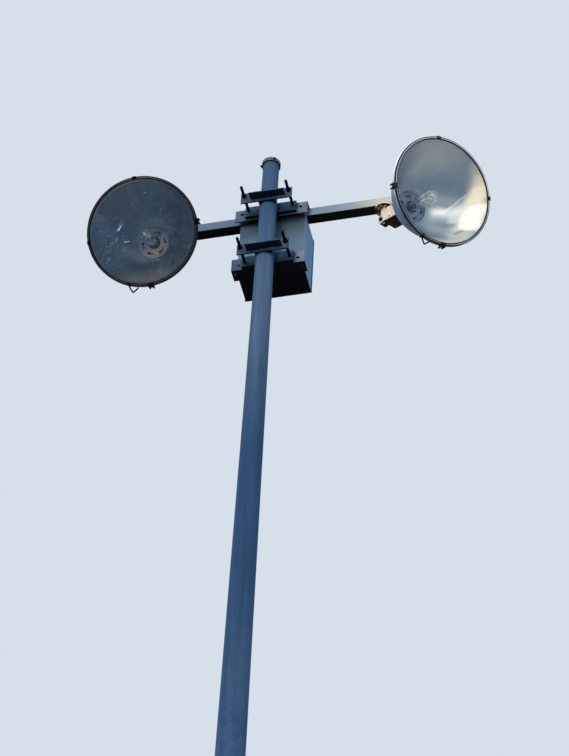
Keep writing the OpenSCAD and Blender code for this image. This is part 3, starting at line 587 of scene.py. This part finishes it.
def add_piece(name, mesh, place, body, materials, stands_for=()):
    """One piece, placed by its own points, that rides on a body."""
    mesh.name = name
    for material in materials:
        mesh.materials.append(material)
    mesh.transform(place)
    ob = bpy.data.objects.new(name, mesh)
    scene.collection.objects.link(ob)
    bpy.context.view_layer.update()
    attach(ob, body)
    if stands_for:
        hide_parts(*stands_for)
    return ob


def smooth(mesh, angle):
    """Smooth shading, except over edges sharper than an angle in degrees."""
    mesh.shade_smooth()
    mesh.set_sharp_from_angle(angle=math.radians(angle))


def circle(count):
    """Angles of points spaced evenly round a circle."""
    return [2 * math.pi * k / count for k in range(count)]


def to_mesh(bm):
    """Turns a finished bmesh into a mesh."""
    mesh = bpy.data.meshes.new("mesh")
    bm.to_mesh(mesh)
    bm.free()
    return mesh


def lathe_mesh(profile, steps=96, closed=True, sharp=40):
    """Turns a profile of (radius, height, material where it isn't 0) round Z. A radius of 0 becomes one point."""
    bm = bmesh.new()
    rows = []
    for r, z, *_ in profile:
        if r < TINY:
            rows.append([bm.verts.new((0, 0, z))])
        else:
            rows.append([bm.verts.new((*polar(r, a), z)) for a in circle(steps)])
    count = len(profile)
    for i in range(count if closed else count - 1):
        a, b = rows[i], rows[(i + 1) % count]
        index = profile[i][2] if len(profile[i]) > 2 else 0
        for k in range(steps):
            n = (k + 1) % steps
            if len(a) == 1 and len(b) == 1:
                continue
            if len(a) == 1:
                face = bm.faces.new((a[0], b[k], b[n]))
            elif len(b) == 1:
                face = bm.faces.new((a[k], b[0], a[n]))
            else:
                face = bm.faces.new((a[k], b[k], b[n], a[n]))
            face.material_index = index
    bmesh.ops.recalc_face_normals(bm, faces=bm.faces)
    mesh = to_mesh(bm)
    smooth(mesh, sharp)
    return mesh


# no tube runs along this direction, so crossed with a tube's own it always gives one of its sides
GUIDE = Vector((0.123, 0.987, 0.311))
# phase of a weld's beads from one of its points to the next, in radians
BEAD_BEAT = 2.1


def tube_mesh(paths, radius, sides=10, bumps=0.0, rng=None):
    """Round bars along (points, whether a loop) paths; bumps gives the uneven beads of a weld."""
    bm = bmesh.new()
    for path, loop in paths:
        points = [Vector(p) for p in path]
        count = len(points)
        rings = []
        for i, p in enumerate(points):
            before = points[i - 1] if i or loop else points[i]
            after = points[(i + 1) % count] if i < count - 1 or loop else points[i]
            along = (after - before).normalized()
            u = along.cross(GUIDE).normalized()
            v = along.cross(u)
            r = radius * (1 + bumps * (math.sin(i * BEAD_BEAT) + (rng.random() - 0.5 if rng else 0)))
            rings.append([bm.verts.new(p + r * (math.cos(t) * u + math.sin(t) * v)) for t in circle(sides)])
        for i in range(count if loop else count - 1):
            a, b = rings[i], rings[(i + 1) % count]
            for k in range(sides):
                n = (k + 1) % sides
                bm.faces.new((a[k], a[n], b[n], b[k]))
        if not loop:
            bm.faces.new(rings[0][::-1])
            bm.faces.new(rings[-1])
    bmesh.ops.recalc_face_normals(bm, faces=bm.faces)
    mesh = to_mesh(bm)
    smooth(mesh, 50)
    return mesh


def merged(parts):
    """One mesh from (mesh, matrix) pairs."""
    bm = bmesh.new()
    for mesh, place in parts:
        start = len(bm.verts)
        bm.from_mesh(mesh)
        bm.verts.ensure_lookup_table()
        bmesh.ops.transform(bm, matrix=place, verts=bm.verts[start:])
    mesh = to_mesh(bm)
    smooth(mesh, 35)
    return mesh


# shares of a head's height and radius, the depth that a stub starts inside the head, and the taper of round parts
CHAMFER_H, CHAMFER_R, STUB_R = 0.15, 0.88, 0.45
STUB_ROOT = 0.001
TAPER = 0.97


def screw_mesh(head_r, head_h, sides=6, washer_r=0.0, washer_h=0.0, stub=0.0):
    """Head with a chamfered top, on a washer where asked for, base at z = 0, and a round stub on top."""
    bm = bmesh.new()
    top = washer_h + head_h
    rings = [[bm.verts.new((*polar(r, a), z)) for a in circle(sides)]
             for r, z in ((head_r, washer_h), (head_r, top - CHAMFER_H * head_h), (head_r * CHAMFER_R, top))]
    for a, b in zip(rings, rings[1:]):
        for k in range(sides):
            n = (k + 1) % sides
            bm.faces.new((a[k], a[n], b[n], b[k]))
    bm.faces.new(rings[0][::-1])
    bm.faces.new(rings[-1])
    for r, low, high in ((washer_r, 0.0, washer_h), (head_r * STUB_R, top - STUB_ROOT, top + stub)):
        if r:
            disc = bmesh.ops.create_cone(bm, cap_ends=True, segments=20, radius1=r, radius2=r * TAPER,
                                         depth=high - low)
            bmesh.ops.translate(bm, vec=(0, 0, (low + high) / 2), verts=disc["verts"])
    return to_mesh(bm)


def facing(point, direction, turn=0.0):
    """Matrix that puts +Z along a direction at a point."""
    q = Vector(direction).normalized().to_track_quat("Z", "Y").to_matrix().to_4x4()
    return Matrix.Translation(Vector(point)) @ q @ Matrix.Rotation(turn, 4, "Z")


BOWL_STEPS, BOWL_SIDES = 40, 144
LENS_STEPS, LENS_SIDES = 20, 128
RING_SIDES = 160
# width of the rolled lip on each ring
LIP_W = {"left": 0.0062, "right": 0.0036}
NECK_BOLTS, NECK_CIRCLE_R, NECK_PLATE_T = 6, 0.063, 0.004


def bowl_radius(u):
    """Radius of the bowl at a share u of its depth."""
    return math.sqrt(NECK_R * NECK_R + u ** BOWL_POWER * (BOWL_R * BOWL_R - NECK_R * NECK_R))


def make_reflector(side, material, body):
    """Spun bowl with its back in another finish, and the flange that the ring holds."""
    flange_r = RING_IN - 0.001
    outer = [(bowl_radius(i / BOWL_STEPS), NECK_Z + BOWL_DEPTH * i / BOWL_STEPS, 1) for i in range(BOWL_STEPS)]
    rim = [(BOWL_R, MOUTH_Z - BOWL_WALL, 0), (flange_r, MOUTH_Z - BOWL_WALL, 0), (flange_r, MOUTH_Z, 0),
           (BOWL_R - BOWL_WALL, MOUTH_Z, 0)]
    inner = [(r - BOWL_WALL, z, 0) for r, z, _ in reversed(outer)]
    mesh = lathe_mesh(outer + rim + inner, BOWL_SIDES)
    add_piece(side + "_bowl", mesh, optic(side), body, [material, bowl_back], [side + "_reflector"])


def make_lens(side, material, body):
    """Domed pane."""
    radii = [LENS_R * i / LENS_STEPS for i in range(LENS_STEPS + 1)]
    top = [(r, MOUTH_Z + SEAT + lens_face(r) + LENS_T) for r in radii]
    low = [(r, z - LENS_T) for r, z in reversed(top)]
    mesh = lathe_mesh(top + low, LENS_SIDES)
    add_piece(side + "_pane", mesh, optic(side), body, [material], [side + "_lens"])


def make_ring(side, body):
    """Formed ring, from its back edge over the plain band, the bead and the lip to its inside."""
    front, back = RING_FRONT, RING_FRONT - RING_W
    out, groove = RING_R, RING_R - 0.0007
    lip = RING_R - LIP_W[side]
    dark, pale, band, bead = range(4)
    profile = [
        (RING_IN, back, dark), (out - 0.0012, back, band), (out, back + 0.0012, band), (out, back + 0.014, dark),
        (groove, back + 0.0155, dark), (groove, front - 0.0040, dark), (out, front - 0.0030, bead),
        (out - 0.0004, front - 0.0014, bead), (out - 0.0014, front - 0.0006, bead), (lip, front - 0.0004, dark),
        (lip - 0.0004, front - 0.0010, dark), (lip - 0.0014, front, pale),
        (LIP_R + 0.0008, front, dark), (LIP_R, front - 0.0008, dark), (LIP_R, front - RING_WALL, dark),
        (RING_IN, front - RING_WALL, dark)]
    mesh = lathe_mesh(profile, RING_SIDES, sharp=30)
    add_piece(side + "_ring_band", mesh, optic(side), body,
              [ring_dark, ring_lips[side], ring_bands[side], ring_beads[side]], [side + "_lens_ring"])


def make_neck(side, material, body):
    """Rolled bead where the bowl meets its neck plate, and the plate's bolts."""
    bead_r, bead_w, bead_h, bead_z = NECK_R - BOWL_WALL - 0.0042, 0.004, 0.003, NECK_Z + 0.006
    bead = [(bead_r + bead_w * math.cos(a), bead_z + bead_h * math.sin(a)) for a in circle(12)]
    add_piece(side + "_neck_bead", lathe_mesh(bead, sharp=60), optic(side), body, [material])
    head = screw_mesh(head_r=0.0058, head_h=0.003, washer_r=0.0082, washer_h=0.001)
    parts = [(head, Matrix.Translation((*polar(NECK_CIRCLE_R, a), NECK_Z + NECK_PLATE_T)))
             for a in circle(NECK_BOLTS)]
    add_piece(side + "_neck_bolts", merged(parts), optic(side), body, [neck_bolt_steel])


def make_bulb(side, body):
    """Clear envelope, arc tube, and the wire frame with the leaf springs that hold it in the dome."""
    tip, mid = NECK_Z + BULB_REACH, NECK_Z + 0.125
    base = HOLDER_BACK + HOLDER_FLOOR + SEAT
    profile = [(0, base), (BULB_CAP_R, base), (BULB_CAP_R, CAP_TOP), (BULB_NECK_R, CAP_TOP)]
    # smooth swelling from the neck to the body, then the dome
    start, end, swell, dome = NECK_Z + 0.005, tip - BULB_TIP, 12, 14
    for i in range(swell + 1):
        u = i / swell
        s = u * u * (3 - 2 * u)
        profile.append((BULB_NECK_R + (BULB_R - BULB_NECK_R) * s, start + (end - start) * u))
    for i in range(1, dome + 1):
        a = math.pi / 2 * i / dome
        profile.append((BULB_R * math.cos(a), tip - BULB_TIP * (1 - math.sin(a))))
    profile[-1] = (0, tip)
    mesh = lathe_mesh(profile, 64, closed=False)
    glass = add_piece(side + "_bulb_glass", mesh, optic(side), body, [bulb_glass], [side + "_bulb"])

    half = [(0, 0.052), (0.004, 0.050), (0.005, 0.036), (0.010, 0.028)]
    tube = [(r, mid - z) for r, z in half] + [(0.0115, mid)] + [(r, mid + z) for r, z in reversed(half)]
    mesh = lathe_mesh(tube, 32, closed=False, sharp=60)
    core = add_piece(side + "_arc_tube", mesh, optic(side), body, [quartz])

    low, high = NECK_Z - 0.06, tip - 0.018
    root_x, rail_x, strap_z, spring_r = 0.018, 0.026, 0.046, 0.029
    wire = [(root_x, 0, low), (root_x, 0, low + 0.02), (rail_x, 0, NECK_Z + 0.04), (rail_x, 0, high - 0.03)]
    wire += [(0.02 * math.cos(a), 0, high - 0.02 + 0.018 * math.sin(a)) for a in (0.3, 0.9, 1.57, 2.2, 2.8)]
    wire += [(-0.016, 0, high - 0.035)]
    straps = [[(rail_x, 0, mid + z), (0, 0, mid + z)] for z in (strap_z, -strap_z)]
    for turn in (20, 75, 140):
        c, s = polar(spring_r, math.radians(turn))
        straps.append([(c, s, high - 0.024), (0.3 * c, 0.3 * s, high - 0.010), (-0.3 * c, -0.3 * s, high - 0.010),
                       (-c, -s, high - 0.024)])
    mesh = tube_mesh([(path, False) for path in [wire] + straps], 0.0018, 8)
    wires = add_piece(side + "_bulb_frame", mesh, optic(side), body, [frame_wire])
    # clear glass spreads light where a mesh of it would throw a hard shadow into the bowl
    for ob in (glass, core, wires):
        ob.visible_shadow = False


def make_bail(side, turn, body):
    """Small safety wire of two twisted strands that hangs in a V from the ring's small clip."""
    x0, z0 = RING_R + 0.0032, RING_FRONT - RING_W / 2
    half, reach, corner = 0.0235, 0.0295, 0.004
    strand, out, step, twist = 0.0025, 0.0021, 0.0011, 0.75
    corners = [(x0, -half), (x0 + corner, -half + 0.001), (x0 + reach, 0.0), (x0 + corner, half - 0.001), (x0, half)]
    paths = []
    for phase in (0, math.pi):
        path = []
        for (xa, ya), (xb, yb) in zip(corners, corners[1:]):
            length = math.hypot(xb - xa, yb - ya)
            nx, ny = -(yb - ya) / length, (xb - xa) / length
            count = max(2, round(length / step))
            for i in range(count):
                u = i / count
                t = len(path) * twist + phase
                path.append((xa + (xb - xa) * u + nx * out * math.cos(t), ya + (yb - ya) * u + ny * out * math.cos(t),
                             z0 + out * math.sin(t)))
        paths.append((path, False))
    place = optic(side) @ Matrix.Rotation(math.radians(turn), 4, "Z")
    mesh = tube_mesh(paths, strand, 6)
    add_piece(side + "_twisted_bail", mesh, place, body, [wire_steel], [side + "_bail"])


def make_latch_details(side, turns, body, screws=()):
    """Pairs of rivets on the latches, and small screws on the ring beside them, by their turns round the lamp."""
    rivet = screw_mesh(head_r=0.003, head_h=0.0012, sides=12)
    spots = [(turn, RING_R - 0.005, y, RING_FRONT + SEAT + 0.0022) for turn in turns for y in (-0.008, 0.008)]
    spots += [(turn, RING_R - 0.0045, 0, RING_FRONT) for turn in screws]
    parts = [(rivet, Matrix.Rotation(math.radians(turn), 4, "Z") @ Matrix.Translation((x, y, z)))
             for turn, x, y, z in spots]
    add_piece(side + "_clip_rivets", merged(parts), optic(side), body, [clip_rust])


def make_clamp_nuts(side, body):
    """Clamp screws under the swivel disc."""
    nut = screw_mesh(head_r=0.0085, head_h=0.006, washer_r=0.0105, washer_h=0.0015, stub=0.003)
    down = Matrix.Rotation(math.pi, 4, "X")
    parts = [(nut, Matrix.Translation((x, y, DISC_UNDER)) @ down) for y in (-0.010, 0.014) for x in (-0.033, 0.033)]
    add_piece(side + "_clamp_nuts", merged(parts), yoke(side), body, [nut_grey])


def make_housing_details(side, body):
    """Bead of the seam round the housing, and the screws in its sides."""
    half_w, half_h, corner_r, seam_z, screw_x = 0.0452, 0.0492, 0.010, 0.096, 0.045
    w, h = half_w - corner_r, half_h - corner_r
    loop = []
    for cx, cy, start in ((w, h, 0), (-w, h, 90), (-w, -h, 180), (w, -h, 270)):
        for k in range(7):
            a = math.radians(start + 15 * k)
            loop.append((cx + corner_r * math.cos(a), cy + corner_r * math.sin(a), seam_z))
    mesh = tube_mesh([(loop, True)], 0.0009, 8)
    add_piece(side + "_housing_seam", mesh, optic(side), body, [seam_grime])
    screw = screw_mesh(head_r=0.0042, head_h=0.003, washer_r=0.0056, washer_h=0.001)
    # each head is turned by its own amount, in radians
    parts = [(screw, facing((out * screw_x, y, z), (out, 0, 0), 40 * z))
             for out in (-1, 1) for z in (0.129, 0.21) for y in (-0.034, 0.034)]
    add_piece(side + "_housing_screws", merged(parts), optic(side), body, [screw_brown])


seam_grime = metal("seam_grime", (150, 128, 108), (96, 78, 66), (176, 156, 136), rough=0.7)
screw_brown = metal("screw_brown", (126, 104, 82), (70, 54, 44), (150, 130, 110), rough=0.6, rust=0.4)
nut_grey = metal("nut_grey", (150, 130, 134), (80, 64, 68), (176, 160, 162), rough=0.5, rust=0.3, under=0.5)
for side, bowl, glass, bead in (("left", bowl_left, lens_left, bead_left),
                                ("right", bowl_right, lens_right, neck_right)):
    lamp = side + "_lamp"
    make_reflector(side, bowl, lamp)
    make_lens(side, glass, lamp)
    make_ring(side, lamp)
    make_neck(side, bead, lamp)
    make_bulb(side, lamp)
    make_clamp_nuts(side, side + "_yoke")
    make_housing_details(side, lamp)
make_bail("left", 258, "left_lamp")
make_bail("right", 267.5, "right_lamp")
make_latch_details("left", (4.5, 276), "left_lamp")
make_latch_details("right", (203, 287.5), "right_lamp", (209.5,))

# specks stay within this radius of the pane, in millimetres
MARKS_WITHIN = 270
FLAKE_LIFT, FLAKE_T, FLAKE_STEP = 0.0001, 0.0003, 0.004
# how much wider than its stroke a flake is, by whether it is bright, and the share of that width at its ends
FLAKE_W = (2.2, 1.7)
FLAKE_END = 0.35


def make_marks():
    """Streaks and specks on the left glass, as thin raised flakes that follow its curve; the bright ones are near
    white and metallic, painted glints.
    """
    rng = random.Random(11)
    strokes = [  # from, to, width, as millimetres on the pane, and whether bright
        ((-128, 12), (-116, 26), 3.4, 1), ((-116, 26), (-106, 40), 3.4, 1), ((-122, 12), (-108, 28), 1.6, 1),
        ((-124, 34), (-112, 48), 1.2, 0), ((-134, 6), (-128, 14), 1.6, 0), ((-102, 34), (-96, 48), 1.2, 0),
        ((-112, 50), (-104, 56), 1.2, 0),
        ((-97, -52), (-84, -55), 3.0, 1), ((-84, -55), (-70, -52), 2.4, 1), ((-141, -48), (-132, -22), 1.8, 0),
        ((-196, -70), (-184, -64), 1.6, 0), ((-176, -62), (-172, -78), 1.4, 0), ((-199, -93), (-192, -99), 2.2, 0),
        ((-181, -96), (-177, -102), 2.0, 0), ((-98, -104), (-90, -94), 2.4, 0), ((-203, -158), (-178, -124), 1.4, 0),
        ((-186, -6), (-181, -16), 1.6, 0), ((-198, -40), (-192, -50), 1.4, 0), ((24, 204), (31, 206), 2.4, 1),
        ((-45, 145), (-38, 144), 2.4, 0), ((-14, 144), (-9, 146), 2.0, 0), ((108, 103), (113, 104), 2.0, 0),
        ((-145, -178), (-139, -181), 2.2, 0), ((-118, -131), (-113, -128), 1.8, 0)]
    # fine specks, thick near the left edge and thin over the rest
    for _ in range(60):
        x, y = rng.uniform(-226, -90), rng.uniform(-180, 20)
        dx, dy = polar(rng.uniform(2, 7), rng.uniform(0.2, 2.2))
        strokes.append(((x, y), (x + dx, y + dy), rng.uniform(0.9, 2.0), 0))
    for _ in range(36):
        x, y = rng.uniform(-230, 60), rng.uniform(-190, 220)
        if math.hypot(x, y) < MARKS_WITHIN:
            dx, dy = polar(rng.uniform(1.5, 5), rng.uniform(0.6, 1.6))
            strokes.append(((x, y), (x + dx, y + dy), rng.uniform(0.7, 1.4), 0))
    bm = bmesh.new()

    def on_glass(x, y):
        """Point just above the pane."""
        return (x, y, MOUTH_Z + SEAT + LENS_T + lens_face(math.hypot(x, y)) + FLAKE_LIFT)

    for (xa, ya), (xb, yb), width, bright in strokes:
        xa, ya, xb, yb, half = (v / 1000 for v in (xa, ya, xb, yb, width / 2))
        length = math.hypot(xb - xa, yb - ya)
        nx, ny = -(yb - ya) / length, (xb - xa) / length
        count = max(3, round(length / FLAKE_STEP))
        left, right = [], []
        for i in range(count + 1):
            u = i / count
            swell = FLAKE_END + (1 - FLAKE_END) * math.sin(math.pi * u)
            w = half * FLAKE_W[bright] * swell * rng.uniform(0.7, 1.25)
            jog = half * rng.uniform(-0.5, 0.5)
            cx, cy = xa + (xb - xa) * u + nx * jog, ya + (yb - ya) * u + ny * jog
            left.append(on_glass(cx + nx * w, cy + ny * w))
            right.append(on_glass(cx - nx * w, cy - ny * w))
        tops = [[bm.verts.new((x, y, z + FLAKE_T)) for x, y, z in line] for line in (left, right)]
        lows = [[bm.verts.new(p) for p in line] for line in (left, right)]
        flakes = [bm.faces.new((lows[0][0], tops[0][0], tops[1][0], lows[1][0]))]
        for i in range(count):
            flakes.append(bm.faces.new((tops[0][i], tops[0][i + 1], tops[1][i + 1], tops[1][i])))
            flakes.append(bm.faces.new((tops[0][i], lows[0][i], lows[0][i + 1], tops[0][i + 1])))
            flakes.append(bm.faces.new((tops[1][i], tops[1][i + 1], lows[1][i + 1], lows[1][i])))
        for face in flakes:
            face.material_index = 1 - bright
    bmesh.ops.recalc_face_normals(bm, faces=bm.faces)
    add_piece("left_glass_marks", to_mesh(bm), optic("left"), "left_lamp", [mark_white, mark_faint])


make_marks()

# distance of the foot's weld from its corner; the seam's turn from +X and steps; the lengths of shaft that it leaves
# free below and above, and how far it stands out
WELD_OUT = 0.003
SEAM_TURN, SEAM_STEPS = math.radians(62), 240
SEAM_LOW, SEAM_HIGH, SEAM_OUT = 0.02, 0.03, 0.0002


def make_mast_details():
    """Fillet weld round the shaft's foot, and the seam weld up the back of the shaft."""
    rng = random.Random(5)
    weld_r, weld_z = POLE_FOOT_R + WELD_OUT, BASE_T + WELD_OUT
    ring = [(*polar(weld_r, a), weld_z) for a in circle(180)]
    weld = tube_mesh([(ring, True)], 0.0055, bumps=0.09, rng=rng)
    add_piece("foot_weld", weld, Matrix.Identity(4), "mast", [weld_steel])
    seam = []
    for i in range(SEAM_STEPS + 1):
        z = BASE_T + SEAM_LOW + (POLE_H - SEAM_HIGH - BASE_T - SEAM_LOW) * i / SEAM_STEPS
        seam.append((*polar(pole_r(z) + SEAM_OUT, SEAM_TURN), z))
    weld = tube_mesh([(seam, False)], 0.0016, sides=8, bumps=0.1, rng=rng)
    add_piece("shaft_seam", weld, Matrix.Identity(4), "mast", [pole_zinc])


make_mast_details()

# the stage, with its angles in degrees
PALE = srgb(214, 224, 234)
FLOOR_HALF, FLOOR_Z = 60, -0.002
# what the floor throws back as light, what it looks like, and its glow in mirrors and glass
FLOOR_DARK, FLOOR_PALE, FLOOR_GLOW = srgb(30, 34, 40), srgb(205, 208, 210), 0.45
SKY, SKY_STRENGTH = (0.74, 0.87, 1.0, 1), 0.72
SUN_AZIMUTH, SUN_HEIGHT, SUN_STRENGTH, SUN_ANGLE, SUN_COLOUR = -15, 22, 1.1, 25, (1.0, 0.98, 0.95)
SPOT_ENERGY, SPOT_ANGLE, SPOT_BLEND, SPOT_R, SPOT_FAR, SPOT_COLOUR = 2500, 10, 0.5, 0.5, 8.0, (1.0, 0.93, 0.82)
SPOT_AIM, SPOT_FROM = Vector((0.94, -0.1, 11.62)), Vector((-0.164, -0.927, -0.331))


def make_stage():
    """Pale floor and background, a soft sky, a low sun and a warm spot on the right lamp."""
    floor_mat, g, shader = new_material("floor_pale")
    seen, bent = g.sight()
    g.put(shader.inputs["Base Color"], g.mix(seen, FLOOR_DARK, FLOOR_PALE))
    g.put(shader.inputs["Roughness"], 0.9)
    g.put(shader.inputs["Emission Color"], PALE)
    g.put(shader.inputs["Emission Strength"], g.math("MULTIPLY", bent, FLOOR_GLOW))
    mesh = bpy.data.meshes.new("floor")
    r, z = FLOOR_HALF, FLOOR_Z
    mesh.from_pydata([(-r, -r, z), (r, -r, z), (r, r, z), (-r, r, z)], [], [(0, 1, 2, 3)])
    mesh.materials.append(floor_mat)
    floor = bpy.data.objects.new("floor", mesh)
    scene.collection.objects.link(floor)

    world = bpy.data.worlds.new("world")
    world.use_nodes = True
    scene.world = world
    g = Graph(world.node_tree)
    out = next(n for n in world.node_tree.nodes if n.type == "OUTPUT_WORLD")
    soft = next(n for n in world.node_tree.nodes if n.type == "BACKGROUND")
    g.put(soft.inputs["Color"], SKY)
    g.put(soft.inputs["Strength"], SKY_STRENGTH)
    back = g.new("ShaderNodeBackground", Color=PALE, Strength=1.0)
    mixed = g.new("ShaderNodeMixShader")
    g.put(mixed.inputs[0], g.sight()[0])
    g.put(mixed.inputs[1], soft.outputs[0])
    g.put(mixed.inputs[2], back.outputs[0])
    g.put(out.inputs[0], mixed.outputs[0])

    def lamp(name, data, at, aim):
        ob = bpy.data.objects.new(name, data)
        ob.location = at
        ob.rotation_euler = (Vector(at) - Vector(aim)).to_track_quat("Z", "Y").to_euler()
        scene.collection.objects.link(ob)
        return ob

    data = bpy.data.lights.new("key", "SUN")
    data.energy = SUN_STRENGTH
    data.angle = math.radians(SUN_ANGLE)
    data.color = SUN_COLOUR
    a, h = math.radians(SUN_AZIMUTH), math.radians(SUN_HEIGHT)
    lamp("key", data, (math.sin(a) * math.cos(h), -math.cos(a) * math.cos(h), math.sin(h)), (0, 0, 0))
    data = bpy.data.lights.new("warm_spot", "SPOT")
    data.energy = SPOT_ENERGY
    data.color = SPOT_COLOUR
    data.spot_size = math.radians(SPOT_ANGLE)
    data.spot_blend = SPOT_BLEND
    data.shadow_soft_size = SPOT_R
    spot = lamp("warm_spot", data, SPOT_AIM + SPOT_FAR * SPOT_FROM.normalized(), SPOT_AIM)
    # its round mirror image would show in the bowl
    spot.visible_glossy = False


make_stage()
scene.view_settings.view_transform = "Standard"
